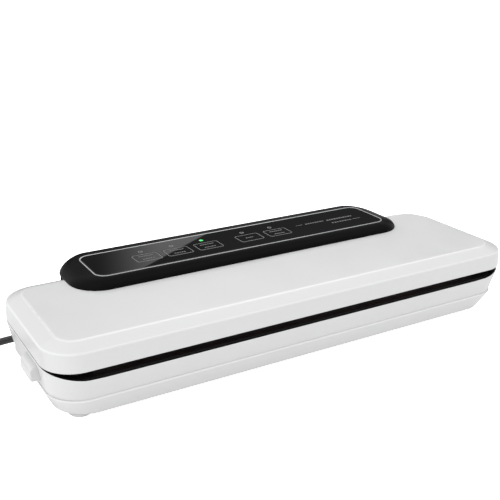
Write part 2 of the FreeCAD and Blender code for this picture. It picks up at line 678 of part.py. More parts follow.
# ---------------------------------------------------------------- lid
def lid_shell():
    body = new_body("Lid")
    loft(body, [(contour(-FLARE), LID_FOOT), (contour(0.0), SHOULDER),
                (contour(BEVEL, CORNER - BEVEL), LID_TOP)])
    ceiling = LID_TOP - WALL
    inner = [(contour(WALL - FLARE, CORNER - WALL), LID_FOOT),
             (contour(WALL, CORNER - WALL), SHOULDER - 1.2),
             (contour(BEVEL, CORNER - BEVEL), ceiling)]
    loft(body, inner, subtract=True)
    window = block((-122.0, 14.0, ceiling - 1), (122.0, 44.0, LID_TOP + 1))
    keep(cut(body, [window]), "lid_shell")


def lid_liner():
    """Inner panel of the lid, stiffened by ribs, with the pressing strip and latch hooks below."""
    top = LINER + LINER_WALL
    plan = contour(WALL - FLARE + 0.5, CORNER - WALL)
    panel = plate(plan, LINER, top)
    ribs = []
    for x in (-140.0, -70.0, 0.0, 70.0, 140.0):
        ribs.append(block((x - 1, FRONT + 12, top), (x + 1, BACK - 12, top + 7)))
    keep(fuse([panel] + ribs), "lid_liner")
    strip = block((1 - BAR_HALF, BAR_Y - 4, PRESS_FOOT), (BAR_HALF - 1, BAR_Y + 4, LINER))
    keep(rounded(strip, 1.2, "x"), "pressing_strip")
    keep(rod(2.5, 3.0, (-18.0, SENSOR_Y, LINER - 3.0)), "lid_magnet")
    columns = (-165.0, -105.0, -35.0, 35.0, 105.0, 165.0)
    screws = [rod(1.5, 6.0, (x, y, top)) for x in columns for y in (-48.0, 20.0)]
    keep(group(screws), "liner_screws")


def latch_hook(side):
    low, high = span(side, HOOK_X - 1.5, HOOK_X + 1.5)
    stem = block((low, HOOK_Y - 4, 26.0), (high, HOOK_Y + 4, LINER))
    low, high = span(side, HOOK_X - 4.6, HOOK_X - 1.5)
    barb = block((low, HOOK_Y - 4, 26.0), (high, HOOK_Y + 4, SLIDER - 0.5))
    low, high = span(side, HOOK_X - 5.0, HOOK_X + 5.0)
    root = block((low, HOOK_Y - 5, LINER - 2), (high, HOOK_Y + 5, LINER))
    return fuse([stem, barb, root])


def rear_cover():
    """Trough-shaped cover behind the lid, which carries the hinge knuckles."""
    front = BACK + FLARE + 0.2
    hidden = front - 2 * COVER_CORNER
    end = COVER_HALF - COVER_WALL
    skin = plate((-COVER_HALF, COVER_HALF, hidden, COVER_BACK, COVER_CORNER), COVER_FOOT, LID_TOP)
    inside = (-end, end, hidden, COVER_BACK - COVER_WALL, COVER_CORNER - COVER_WALL)
    over = LID_TOP + 1
    hollow = plate(inside, COVER_FOOT + COVER_WALL, over)
    wide = COVER_HALF + 1
    wall_side = block((-wide, hidden - 1, COVER_FOOT), (wide, front + COVER_WALL, over + 1))
    ahead = block((-wide, hidden - 1, COVER_FOOT - 1), (wide, front, over + 1))
    body = cut(skin, [ahead, cut(hollow, [wall_side])])
    knuckles = []
    bores = []
    gap = 0.5
    for side in (-1, 1):
        low, high = span(side, EAR_INNER + EAR / 2 + gap, EAR_OUTER - EAR / 2 - gap)
        knuckles.append(rod(BARREL, high - low, (low, HINGE_Y, HINGE_Z), "x"))
        knuckles.append(block((low, HINGE_Y - BARREL, HINGE_Z), (high, HINGE_Y + 2.6, COVER_FOOT + 0.5)))
        bores.append(rod(PIN + PIN_PLAY, high - low + 2, (low - 1, HINGE_Y, HINGE_Z), "x"))
    keep(cut(fuse([body] + knuckles), bores), "lid_rear_cover")


def housing_sections(inset):
    """Domed profile of the control housing from its foot to the frame round the panel."""
    sections = []
    for height, drawn, radius in ((LID_TOP, 0.0, CAP_CORNER),) + CAP_STEPS:
        side = CAP_HALF - drawn * 1.06 - inset
        front = CAP_FRONT + drawn * 0.49 + inset
        back = CAP_BACK - drawn * 0.18 - inset
        shape = (-side, side, front, back, radius - inset)
        sections.append((shape, height - inset * 0.9 if inset else height))
    return sections


def control_housing():
    body = new_body("Housing")
    loft(body, housing_sections(0.0))
    inner = housing_sections(2.0)
    inner[0] = (inner[0][0], LID_TOP)
    loft(body, inner, subtract=True)
    edge = TRIM + 0.05
    side = PANEL_HALF + edge
    recess = (-side, side, PANEL_FRONT - edge, PANEL_BACK + edge, PANEL_CORNER + TRIM)
    sketch = outline(body, recess, CAP_TOP + 1.0)
    pad(body, sketch, 1.9, "Pocket")
    holes = [key_block(x, KEY_GAP, CAP_TOP - 4.0, CAP_TOP) for x in KEY_PLACES]
    holes += [rod(LIGHT, 5.0, (x, LIGHT_Y, CAP_TOP - 4.0)) for x in KEY_PLACES]
    keep(cut(body, holes), "control_housing")


def key_block(x, gap, foot, top):
    """A key's outline, grown by a gap."""
    low = (x - KEY_LONG / 2 - gap, KEY_Y - KEY_DEEP / 2 - gap, foot)
    high = (x + KEY_LONG / 2 + gap, KEY_Y + KEY_DEEP / 2 + gap, top)
    return rounded(block(low, high), KEY_CORNER + gap)


def control_panel():
    foot = CAP_TOP - 0.9
    side = PANEL_HALF + TRIM
    frame = (-side, side, PANEL_FRONT - TRIM, PANEL_BACK + TRIM, PANEL_CORNER + TRIM)
    keep(band(frame, TRIM, foot, CAP_TOP + 0.3), "panel_trim")
    face = (-PANEL_HALF, PANEL_HALF, PANEL_FRONT, PANEL_BACK, PANEL_CORNER)
    panel = plate(face, foot, PANEL_TOP)
    holes = [key_block(x, KEY_GAP, foot - 1, PANEL_TOP + 1) for x in KEY_PLACES]
    holes += [rod(LIGHT, 4.0, (x, LIGHT_Y, foot - 1)) for x in KEY_PLACES]
    keep(cut(panel, holes), "control_panel")
    board_top = CAP_TOP - BOARD_DROP
    for x, name in zip(KEY_PLACES, KEY_NAMES):
        cap = key_block(x, 0.0, foot - 1.0, PANEL_TOP)
        post = rod(1.6, 2.0, (x, KEY_Y, foot - 2.4))
        keep(fuse([cap, post]), name)
    light_foot = board_top + 0.6
    lights = [rod(LIGHT, PANEL_TOP - light_foot, (x, LIGHT_Y, light_foot)) for x in KEY_PLACES]
    keep(lights[2], "light_pipe_lit")
    keep(group(lights[:2] + lights[3:]), "light_pipes")
    keep(block((-112.0, 18.0, board_top - 1.4), (60.0, 47.5, board_top)), "control_board")
    switch_top = foot - 2.4 - KEY_TRAVEL - 0.1
    switches = [block((x - 3, KEY_Y - 3, board_top), (x + 3, KEY_Y + 3, switch_top)) for x in KEY_PLACES]
    keep(group(switches), "tact_switches")


# ---------------------------------------------------------------- mains cord
def strain_relief():
    """Tapered, ribbed sleeve that points out of the left end of the spine."""
    rings = 6
    pitch = (RELIEF_LONG - 4.0) / rings
    profile = [(-4.0, 5.0), (-2.4, 5.0), (-2.4, 3.9), (0.0, 3.9), (0.0, 5.4), (2.0, 5.4)]
    for ring in range(rings):
        start = 2.0 + pitch * ring
        outer = 5.1 - 0.22 * ring
        profile += [(start, outer - 0.7), (start + pitch * 0.35, outer - 0.7),
                    (start + pitch * 0.35, outer), (start + pitch, outer)]
    profile += [(RELIEF_LONG - 2.0, 3.5), (RELIEF_LONG, 3.5)]
    body = turned(profile, (-SPINE_HALF, CORD_Y, CORD_Z))
    body.Placement = FreeCAD.Placement(
        Vector(-float(SPINE_HALF), float(CORD_Y), float(CORD_Z)), FreeCAD.Rotation(Vector(0, 0, 1), 180))
    place(body, -SPINE_HALF, CORD_Y, CORD_Z)
    keep(body, "strain_relief")
    clamp = block((-138.0, CORD_Y - 7, SOLE + WALL), (-130.0, CORD_Y + 7, CORD_Z + 4))
    keep(clamp, "cord_clamp")


# Route of the free cord from the strain relief to the coil, and from the coil to the plug.
CORD_ROUTE = [
    (-171.0, 58.15, 10.0),
    (-186.0, 58.3, 9.8),
    (-201.0, 58.6, 8.3),
    (-216.0, 57.6, 4.9),
    (-231.5, 54.2, 3.0),
    (-246.5, 49.6, 3.1),
]
TAIL_ROUTE = [
    (-236.8, 67.0, 8.8),
    (-236.9, 56.0, 9.1),
    (-238.0, 45.0, 10.0),
    (-239.6, 34.5, 10.6),
]
PLUG_HEADING = -97.0


def cord():
    for route, label in ((CORD_ROUTE, "power_cord"), (TAIL_ROUTE, "cord_tail")):
        free = doc.addObject("Part::Feature", "Cord")
        free.Shape = tube([Vector(*point) for point in route], CORD / 2)
        keep(free, label)
    ring = rod(COIL_OUTER, COIL_TOP - COIL_FOOT, (COIL_X, COIL_Y, COIL_FOOT))
    hole = rod(COIL_INNER, COIL_TOP - COIL_FOOT + 2, (COIL_X, COIL_Y, COIL_FOOT - 1))
    keep(cut(ring, [hole]), "cord_coil")
    low = (COIL_X - COIL_OUTER - 1.0, COIL_Y - 4, 0.0)
    high = (COIL_X - COIL_INNER + 1.0, COIL_Y + 4, COIL_TOP + 0.9)
    tie_band = block(low, high)
    inside = block((low[0] + 0.9, low[1] - 1, COIL_FOOT), (high[0] - 0.9, high[1] + 1, COIL_TOP))
    keep(cut(tie_band, [inside]), "cord_tie")


def plug():
    """Two-blade plug lying beside the coil; built along +X from the cord's end."""
    sleeve = [rod(4.6 + 0.15 * ring, 2.2, (1.0 + 3.4 * ring, 0, 0), "x") for ring in range(5)]
    core = rod(3.9, 18.0, (0, 0, 0), "x")
    collar = rod(7.0, 3.0, (18.0, 0, 0), "x")
    grip = rounded(block((21.0, -8.5, -7.5), (40.3, 8.5, 7.5)), 4.0, "x")
    face = rounded(block((40.3, -12.5, -10.5), (44.0, 12.5, 10.5)), 5.0, "x")
    windows = []
    for side in (-1, 1):
        low, high = span(side, 7.6, 9.5)
        windows.append(rounded(block((27.0, low, -4.0), (37.0, high, 4.0)), 1.5, "y"))
    body = cut(fuse([core, collar, grip, face] + sleeve), windows)
    blades = group([block((44.0, y - 0.75, -3.15), (60.0, y + 0.75, 3.15)) for y in (-6.35, 6.35)])
    turn = FreeCAD.Rotation(Vector(0, 0, 1), PLUG_HEADING)
    for thing, label in ((body, "plug_body"), (blades, "plug_blades")):
        thing.Placement = FreeCAD.Placement(Vector(*TAIL_ROUTE[-1]), turn)
        keep(thing, label)


# ---------------------------------------------------------------- assembly
base_top_case()
base_deck()
base_bottom_case()
feet()
hinge_pins()
case_screws()
heating_bar()
vacuum_trough()
pump()
valve()
electronics()
hoses()
pair(release_button, "release_button_left", "release_button_right")
pair(button_spring, "button_spring_left", "button_spring_right")
lid_shell()
lid_liner()
pair(latch_hook, "latch_hook_left", "latch_hook_right")
rear_cover()
control_housing()
control_panel()
strain_relief()
cord()
plug()
doc.recompute()

broken = [thing.Label for thing in doc.Objects if {"Invalid", "Error"} & set(thing.State)]
for piece in pieces:
    if piece.Shape.isNull() or not piece.Shape.isValid() or piece.Shape.Volume <= 0:
        broken.append(piece.Label)
if broken:
    raise RuntimeError(f"failed: {sorted(set(broken))}")

os.makedirs("parts", exist_ok=True)
for piece in pieces:
    piece.Shape.exportStep(f"parts/{piece.Label}.step")
print(f"wrote {len(pieces)} sub-parts")
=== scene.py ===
"""Looks of the vacuum sealer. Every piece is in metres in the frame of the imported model."""
import json
import math

import bmesh
import bpy
from mathutils import Matrix, Vector


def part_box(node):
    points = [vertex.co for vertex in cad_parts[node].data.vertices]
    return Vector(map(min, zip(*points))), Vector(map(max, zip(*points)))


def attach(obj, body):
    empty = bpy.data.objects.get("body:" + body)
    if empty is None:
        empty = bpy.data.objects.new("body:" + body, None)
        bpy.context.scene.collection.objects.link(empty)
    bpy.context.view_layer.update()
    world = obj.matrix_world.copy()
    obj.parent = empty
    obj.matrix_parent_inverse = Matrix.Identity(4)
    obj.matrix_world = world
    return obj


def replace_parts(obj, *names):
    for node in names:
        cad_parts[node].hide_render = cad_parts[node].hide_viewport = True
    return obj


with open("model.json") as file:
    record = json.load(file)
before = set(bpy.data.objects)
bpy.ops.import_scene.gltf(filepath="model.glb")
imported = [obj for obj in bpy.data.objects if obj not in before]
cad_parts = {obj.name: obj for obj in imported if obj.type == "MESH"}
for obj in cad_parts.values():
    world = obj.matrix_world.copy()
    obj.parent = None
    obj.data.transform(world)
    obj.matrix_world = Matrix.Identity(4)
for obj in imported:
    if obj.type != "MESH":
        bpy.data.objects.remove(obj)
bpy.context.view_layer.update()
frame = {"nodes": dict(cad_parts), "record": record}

MM = 0.001


def node_box(name):
    """A CAD node's corners, in millimetres."""
    low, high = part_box(name)
    return [v / MM for v in low], [v / MM for v in high]


# ---------------------------------------------------------------- camera and light
CAMERA_AT = (-303.6, -478.8, 278.6)
CAMERA_TILT = 68.49
CAMERA_TURN = -29.21
FOCAL = 57.78
SHIFT = (0.0538, 0.0245)
SKY = 1.08
SKY_LEFT = 0.72
# Soft boxes: direction, cosine of the half width, brightness.
SOFT_BOXES = (
    ((0.50, 0.62, 0.60), 0.93, 1.6),
    ((0.45, -0.50, 0.74), 0.90, 1.0),
    ((0, 0.2, 1), 0.5, 0.35),
)
BAND_TONE = 0.05
CARD_EDGE = 1.4465
CARD_SLANT = -2.744
CARD_SPAN = (0.35, 0.465)
CARD_GLOW = 0.57
CARD_BLUR = 0.003
LAMP_AT = (-0.75, -0.75, 1.5)
LAMP_AIM = (0, 0, 0.03)
LAMP_SIZE = (1.0, 1.0)
LAMP_POWER = 2.4
FLOOR_REACH = 12.0
FLOOR_TONE = 0.95
FLOOR_GLOW = 0.14
FLOOR_GLOW_SEEN = 0.7


def add_camera():
    """The camera that the photo's outlines were fitted with."""
    data = bpy.data.cameras.new("camera")
    data.lens = FOCAL
    data.sensor_width = 36.0
    data.shift_x, data.shift_y = SHIFT
    data.clip_start = 0.01
    camera = bpy.data.objects.new("camera", data)
    bpy.context.scene.collection.objects.link(camera)
    camera.location = Vector(CAMERA_AT) * MM
    camera.rotation_euler = (math.radians(CAMERA_TILT), 0, math.radians(CAMERA_TURN))
    bpy.context.scene.camera = camera


def add_lamp():
    """One broad, weak lamp from the upper left."""
    data = bpy.data.lights.new("key", "AREA")
    data.shape = "RECTANGLE"
    data.size, data.size_y = LAMP_SIZE
    data.energy = LAMP_POWER
    lamp = bpy.data.objects.new("key", data)
    bpy.context.scene.collection.objects.link(lamp)
    lamp.location = LAMP_AT
    lamp.rotation_euler = (Vector(LAMP_AIM) - Vector(LAMP_AT)).to_track_quat("-Z", "Y").to_euler()


def glow(tree, direction, toward, reach, gain):
    """A soft round patch of the sky, brightest along one direction."""
    aim = Vector(toward).normalized()
    dot = tree.nodes.new("ShaderNodeVectorMath")
    dot.operation = "DOT_PRODUCT"
    tree.links.new(direction, dot.inputs[0])
    dot.inputs[1].default_value = aim
    return ranged(tree, dot.outputs["Value"], reach, 1.0, 0.0, gain)


def add_light():
    """White studio: a bright sky with a few soft boxes in it, brighter on the left, and behind the
    machine a dark band with a grey card. Camera rays see plain white all round."""
    world = bpy.data.worlds.new("studio")
    world.use_nodes = True
    tree = world.node_tree
    background = tree.nodes["Background"]
    direction = tree.nodes.new("ShaderNodeTexCoord").outputs["Generated"]
    split = tree.nodes.new("ShaderNodeSeparateXYZ")
    tree.links.new(direction, split.inputs[0])
    along, away, up = split.outputs
    total = ranged(tree, along, 0.1, -0.9, SKY, SKY + SKY_LEFT)
    for toward, reach, gain in SOFT_BOXES:
        total = mathed(tree, "ADD", total, glow(tree, direction, toward, reach, gain))
    behind = ranged(tree, away, 0.30, 0.50, 0.0, 1.0)
    low = ranged(tree, up, 0.50, 0.42, 0.0, 1.0)
    inward = ranged(tree, along, -0.15, 0.05, 0.0, 1.0)
    band = mathed(tree, "MULTIPLY", mathed(tree, "MULTIPLY", behind, low), inward)
    sky = mathed(tree, "MULTIPLY", total, ranged(tree, band, 0.0, 1.0, 1.0, BAND_TONE))
    bearing = mathed(tree, "DIVIDE", along, mathed(tree, "MAXIMUM", away, 0.01))
    edge = mathed(tree, "ADD", mathed(tree, "MULTIPLY", up, CARD_SLANT), CARD_EDGE)
    beside = mathed(tree, "SUBTRACT", edge, bearing)
    card = mathed(tree, "MULTIPLY", ranged(tree, beside, 0.0, CARD_BLUR, 0.0, 1.0),
                  ranged(tree, bearing, *CARD_SPAN, 0.0, CARD_GLOW))
    lit = mathed(tree, "ADD", sky, mathed(tree, "MULTIPLY", card, band))
    seen = tree.nodes.new("ShaderNodeLightPath").outputs["Is Camera Ray"]
    shown = mathed(tree, "MAXIMUM", lit, mathed(tree, "MULTIPLY", seen, SKY))
    tree.links.new(shown, background.inputs["Strength"])
    background.inputs["Color"].default_value = (1, 1, 1, 1)
    bpy.context.scene.world = world
    add_lamp()
    bpy.context.scene.view_settings.view_transform = "Standard"


def add_floor():
    """White paper that glows enough to hide its shadows from the camera."""
    mesh = bpy.data.meshes.new("floor")
    reach = FLOOR_REACH
    corners = [(-reach, -reach, 0), (reach, -reach, 0), (reach, reach, 0), (-reach, reach, 0)]
    mesh.from_pydata(corners, [], [(0, 1, 2, 3)])
    floor = bpy.data.objects.new("floor", mesh)
    bpy.context.scene.collection.objects.link(floor)
    paper, tree, shader = new_material("floor_paper")
    fibres = tinted(tree, noise(tree, 3, 2), (FLOOR_TONE, FLOOR_TONE, FLOOR_TONE), 0.004)
    tree.links.new(fibres, shader.inputs["Base Color"])
    shader.inputs["Emission Color"].default_value = (1, 1, 1, 1)
    seen = tree.nodes.new("ShaderNodeLightPath").outputs["Is Camera Ray"]
    glowing = ranged(tree, seen, 0.0, 1.0, FLOOR_GLOW, FLOOR_GLOW_SEEN)
    tree.links.new(glowing, shader.inputs["Emission Strength"])
    shader.inputs["Roughness"].default_value = 0.9
    shader.inputs["Specular IOR Level"].default_value = 0.0
    floor.data.materials.append(paper)
    floor.visible_glossy = False


# ---------------------------------------------------------------- shader helpers
def new_material(name):
    """A node material, its tree and its shader."""
    material = bpy.data.materials.new(name)
    material.use_nodes = True
    tree = material.node_tree
    return material, tree, tree.nodes["Principled BSDF"]


def ranged(tree, value, low, high, to_low, to_high):
    """Maps a value from one range to another, smoothly and within its ends."""
    node = tree.nodes.new("ShaderNodeMapRange")
    node.interpolation_type = "SMOOTHSTEP"
    for name, number in (("From Min", low), ("From Max", high), ("To Min", to_low), ("To Max", to_high)):
        node.inputs[name].default_value = number
    tree.links.new(value, node.inputs["Value"])
    return node.outputs["Result"]


def mathed(tree, operation, first, second):
    """Calculates with two values, each a socket or a number."""
    node = tree.nodes.new("ShaderNodeMath")
    node.operation = operation
    for socket, value in zip(node.inputs, (first, second)):
        if isinstance(value, (int, float)):
            socket.default_value = value
        else:
            tree.links.new(value, socket)
    return node.outputs[0]


def noise(tree, scale, detail=2.0, stretch=(1, 1, 1)):
    """Noise over the object's own metres, finer along an axis with a larger stretch."""
    where = tree.nodes.new("ShaderNodeTexCoord")
    mapping = tree.nodes.new("ShaderNodeMapping")
    mapping.inputs["Scale"].default_value = stretch
    tree.links.new(where.outputs["Object"], mapping.inputs["Vector"])
    node = tree.nodes.new("ShaderNodeTexNoise")
    node.inputs["Scale"].default_value = scale
    node.inputs["Detail"].default_value = detail
    tree.links.new(mapping.outputs[0], node.inputs["Vector"])
    return node.outputs["Fac"]


def tinted(tree, fac, color, spread):
    """A colour that drifts a little darker and lighter with the factor."""
    ramp = tree.nodes.new("ShaderNodeValToRGB")
    ramp.color_ramp.elements[0].position = 0.3
    ramp.color_ramp.elements[1].position = 0.7
    for element, gain in zip(ramp.color_ramp.elements, (1 - spread, 1 + spread)):
        element.color = [min(1.0, c * gain) for c in color[:3]] + [1]
    tree.links.new(fac, ramp.inputs[0])
    return ramp.outputs[0]


def bumped(tree, shader, height, strength, distance):
    """Gives a shader a fine relief."""
    node = tree.nodes.new("ShaderNodeBump")
    node.inputs["Strength"].default_value = strength
    node.inputs["Distance"].default_value = distance
    tree.links.new(height, node.inputs["Height"])
    tree.links.new(node.outputs[0], shader.inputs["Normal"])


def plastic(name, color, rough, grain=2600, relief=0.00002, spread=0.015, coat=0.0, shine=0.5):
    """Moulded plastic: fine spark-eroded grain, drifting gloss and a faint drift of colour."""
    material, tree, shader = new_material(name)
    tree.links.new(tinted(tree, noise(tree, 22, 3), color, spread), shader.inputs["Base Color"])
    gloss = ranged(tree, noise(tree, 45, 4), 0.25, 0.75, rough * 0.88, rough * 1.14)
    tree.links.new(gloss, shader.inputs["Roughness"])
    shader.inputs["Specular IOR Level"].default_value = shine
    shader.inputs["Coat Weight"].default_value = coat
    shader.inputs["Coat Roughness"].default_value = 0.08
    bumped(tree, shader, noise(tree, grain, 2), 0.35, relief)
    return material


def edge_gloss_and_painted_highlight(material, color, rough):
    """Paints a highlight on the moulding's rounded edges as a brighter colour, and makes them smoother than
    its faces.
    """
    tree = material.node_tree
    shader = tree.nodes["Principled BSDF"]
    # Per-vertex amount of painted highlight and extra gloss, read from the skin's attribute.
    edge = tree.nodes.new("ShaderNodeAttribute")
    edge.attribute_name = "gloss_and_painted_highlight"
    blend = tree.nodes.new("ShaderNodeMix")
    blend.data_type = "RGBA"
    tree.links.new(edge.outputs["Fac"], blend.inputs["Factor"])
    tree.links.new(shader.inputs["Base Color"].links[0].from_socket, blend.inputs["A"])
    blend.inputs["B"].default_value = (*color, 1)
    tree.links.new(blend.outputs["Result"], shader.inputs["Base Color"])
    gloss = shader.inputs["Roughness"].links[0].from_socket
    smooth = mathed(tree, "SUBTRACT", gloss, mathed(tree, "MULTIPLY", edge.outputs["Fac"], rough))
    tree.links.new(smooth, shader.inputs["Roughness"])
    return material


def metal(name, color, rough, along=(1, 30, 30), relief=0.00002):
    """Worked metal with fine lines along one axis."""
    material, tree, shader = new_material(name)
    lines = noise(tree, 160, 4, along)
    tree.links.new(tinted(tree, lines, color, 0.07), shader.inputs["Base Color"])
    tree.links.new(ranged(tree, lines, 0.2, 0.8, rough * 0.75, rough * 1.3), shader.inputs["Roughness"])
    shader.inputs["Metallic"].default_value = 1.0
    bumped(tree, shader, lines, 0.4, relief)
    return material


def rubber(name, color, rough=0.6, pores=1400, relief=0.00005):
    """Rubber or foam with a pored surface."""
    material, tree, shader = new_material(name)
    cells = tree.nodes.new("ShaderNodeTexVoronoi")
    cells.inputs["Scale"].default_value = pores
    where = tree.nodes.new("ShaderNodeTexCoord")
    tree.links.new(where.outputs["Object"], cells.inputs["Vector"])
    tree.links.new(tinted(tree, noise(tree, 70, 3), color, 0.08), shader.inputs["Base Color"])
    gloss = ranged(tree, noise(tree, 200, 3), 0.3, 0.7, rough - 0.06, rough + 0.08)
    tree.links.new(gloss, shader.inputs["Roughness"])
    bumped(tree, shader, cells.outputs["Distance"], 0.4, relief)
    return material


def woven(name, color):
    """Coated glass cloth: two crossed sets of threads."""
    material, tree, shader = new_material(name)
    where = tree.nodes.new("ShaderNodeTexCoord")
    threads = []
    for direction in ("X", "Y"):
        wave = tree.nodes.new("ShaderNodeTexWave")
        wave.bands_direction = direction
        wave.inputs["Scale"].default_value = 500
        tree.links.new(where.outputs["Object"], wave.inputs["Vector"])
        threads.append(wave.outputs["Fac"])
    weave = mathed(tree, "MAXIMUM", *threads)
    tree.links.new(tinted(tree, weave, color, 0.16), shader.inputs["Base Color"])
    shader.inputs["Roughness"].default_value = 0.5
    bumped(tree, shader, weave, 0.5, 0.00005)
    return material


def lens(name, color, glow=0.0):
    """Clear coloured light pipe."""
    material, tree, shader = new_material(name)
    tint = tinted(tree, noise(tree, 900, 2), color, 0.1)
    tree.links.new(tint, shader.inputs["Base Color"])
    shader.inputs["Roughness"].default_value = 0.15
    shader.inputs["Emission Color"].default_value = (*color, 1)
    shader.inputs["Emission Strength"].default_value = glow
    return material


WHITE = (0.475, 0.476, 0.479)
# Colour of the painted highlight along the case's rounded edges.
PAINTED_HIGHLIGHT_WHITE = (0.64, 0.641, 0.644)
BLACK = (0.003, 0.003, 0.0032)


def case_white(name):
    """The white of the case, with a painted highlight along its rounded edges."""
    return edge_gloss_and_painted_highlight(plastic(name, WHITE, 0.32, spread=0.006), PAINTED_HIGHLIGHT_WHITE, 0.08)


def make_materials():
    """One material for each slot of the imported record, and two for the print."""
    return {
        "white_shell": case_white("white_shell"),
        "button_white": case_white("button_white"),
        "foot_light": rubber("foot_light", (0.46, 0.462, 0.465), 0.55, relief=0.00002),
        "inner_white": plastic("inner_white", (0.6, 0.61, 0.62), 0.45),
        "inner_grey": plastic("inner_grey", (0.09, 0.09, 0.095), 0.5),
        "deck_black": plastic("deck_black", (0.006, 0.006, 0.0065), 0.55, 1800, 0.00004, 0.06, shine=0.15),
        "housing_black": plastic("housing_black", BLACK, 0.3, 2200, 0.00001, 0.06, shine=0.03),
        "rear_grey": plastic("rear_grey", (0.045, 0.046, 0.048), 0.48, 1800, 0.00004, 0.06),
        "panel_black": plastic("panel_black", (0.004, 0.004, 0.0044), 0.012, 60, 0.0, 0.03),
        "key_black": plastic("key_black", (0.0042, 0.0042, 0.0046), 0.012, 60, 0.0, 0.03),
        "print_grey": plastic("print_grey", (0.17, 0.173, 0.177), 0.5),
        "print_faint": plastic("print_faint", (0.085, 0.086, 0.088), 0.5),
        "trim_silver": plastic("trim_silver", (0.36, 0.365, 0.375), 0.35, 900, 0.00001, 0.08),
        "light_lit": lens("light_lit", (0.02, 0.8, 0.12), 0.75),
        "light_dark": lens("light_dark", (0.05, 0.052, 0.052)),
        "bar_alloy": metal("bar_alloy", (0.6, 0.61, 0.63), 0.32),
        "heater_steel": metal("heater_steel", (0.5, 0.48, 0.45), 0.3),
        "tape_brown": woven("tape_brown", (0.2, 0.105, 0.045)),
        "gasket_foam": rubber("gasket_foam", (0.02, 0.02, 0.021), 0.8, 900, 0.00015),
        "strip_red": rubber("strip_red", (0.3, 0.05, 0.03), 0.6),
        "motor_steel": metal("motor_steel", (0.55, 0.55, 0.56), 0.35, (30, 1, 1)),
        "shaft_steel": metal("shaft_steel", (0.6, 0.6, 0.6), 0.2, (30, 1, 1)),
        "pump_black": plastic("pump_black", (0.02, 0.02, 0.022), 0.45),
        "hose_silicone": rubber("hose_silicone", (0.55, 0.56, 0.53), 0.4),
        "valve_body": plastic("valve_body", (0.03, 0.05, 0.13), 0.45),
        "board_green": plastic("board_green", (0.01, 0.1, 0.03), 0.3, 500, 0.00005, 0.2),
        "core_steel": metal("core_steel", (0.15, 0.15, 0.16), 0.45, (1, 40, 1)),
        "capacitor_sleeve": plastic("capacitor_sleeve", (0.02, 0.025, 0.09), 0.25),
        "relay_blue": plastic("relay_blue", (0.03, 0.1, 0.35), 0.4),
        "sink_aluminium": metal("sink_aluminium", (0.4, 0.41, 0.43), 0.4),
        "fuse_white": plastic("fuse_white", (0.7, 0.68, 0.62), 0.6, 1200, 0.00008, 0.05),
        "switch_glass": lens("switch_glass", (0.4, 0.6, 0.5)),
        "magnet_nickel": metal("magnet_nickel", (0.6, 0.6, 0.6), 0.18),
        "screw_steel": metal("screw_steel", (0.5, 0.5, 0.52), 0.3),
        "pin_steel": metal("pin_steel", (0.55, 0.55, 0.56), 0.25),
        "spring_steel": metal("spring_steel", (0.5, 0.5, 0.5), 0.3),
        "filter_foam": rubber("filter_foam", (0.3, 0.3, 0.28), 0.9, 700, 0.0003),
        "cord_black": rubber("cord_black", (0.012, 0.012, 0.013), 0.42, 1600, 0.00002),
        "plug_black": plastic("plug_black", (0.013, 0.013, 0.014), 0.42, 1500, 0.00005, 0.06),
        "blade_nickel": metal("blade_nickel", (0.68, 0.67, 0.63), 0.2, (30, 30, 1)),
        "tie_black": rubber("tie_black", (0.01, 0.01, 0.011), 0.5),
        "switch_black": plastic("switch_black", (0.02, 0.02, 0.02), 0.5),
    }


# ---------------------------------------------------------------- mesh helpers
def to_object(bm, name, slot, body, smooth=True):
    """Makes a piece of a bmesh, which is freed."""
    bmesh.ops.recalc_face_normals(bm, faces=bm.faces[:])
    mesh = bpy.data.meshes.new(name)
    bm.to_mesh(mesh)
    bm.free()
    piece = bpy.data.objects.new(name, mesh)
    bpy.context.scene.collection.objects.link(piece)
    return finished(piece, slot, body, smooth)


def finished(piece, slot, body, smooth=True):
    """Gives a piece its material and shading, and the body that it moves with."""
    piece.data.materials.clear()
    piece.data.materials.append(MATERIALS[slot])
    if smooth:
        piece.data.shade_smooth()
        if piece.type == "MESH":
            piece.modifiers.new("Weighted", "WEIGHTED_NORMAL").keep_sharp = True
    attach(piece, body)
    return piece


def soft_polygon(corners, steps, spacing=12.0, fixed=None):
    """Points round a polygon whose corners (x, y, radius) are rounded. Stretches between the
    corners are divided by the spacing, or as a list of counts says."""
    arcs = []
    for index, (x, y, radius) in enumerate(corners):
        here = Vector((x, y))
        before = (Vector(corners[index - 1][:2]) - here).normalized()
        after = (Vector(corners[(index + 1) % len(corners)][:2]) - here).normalized()
        half = before.angle(after) / 2
        reach = radius / math.tan(half)
        centre = here + (before + after).normalized() * (radius / math.sin(half))
        start = here + before * reach - centre
        end = here + after * reach - centre
        sweep = start.angle_signed(end) * -1
        arcs.append([centre + Matrix.Rotation(sweep * k / steps, 2) @ start for k in range(steps + 1)])
    points = []
    for index, arc in enumerate(arcs):
        points += arc
        onward = arcs[(index + 1) % len(arcs)][0]
        count = fixed[index] if fixed else max(1, round((onward - arc[-1]).length / spacing))
        points += [arc[-1].lerp(onward, k / count) for k in range(1, count)]
    return points


def box_corners(left, right, front, back, radius):
    """Corners of a rounded rectangle, for soft_polygon."""
    return [(left, front, radius), (right, front, radius), (right, back, radius), (left, back, radius)]


def painted_highlight_amounts(rows, steps):
    """How much painted highlight and extra gloss each point of a softened profile gets: most in the middle of
    each curve.
    """
    amounts = []
    for index, row in enumerate(rows):
        if index in (0, len(rows) - 1) or row[1] == 0:
            amounts.append(0.0)
            continue
        strength = row[2] if len(row) > 2 else 0.0
        amounts += [strength * (1 - abs(2 * k / steps - 1)) ** 1.5 for k in range(steps + 1)]
    return amounts


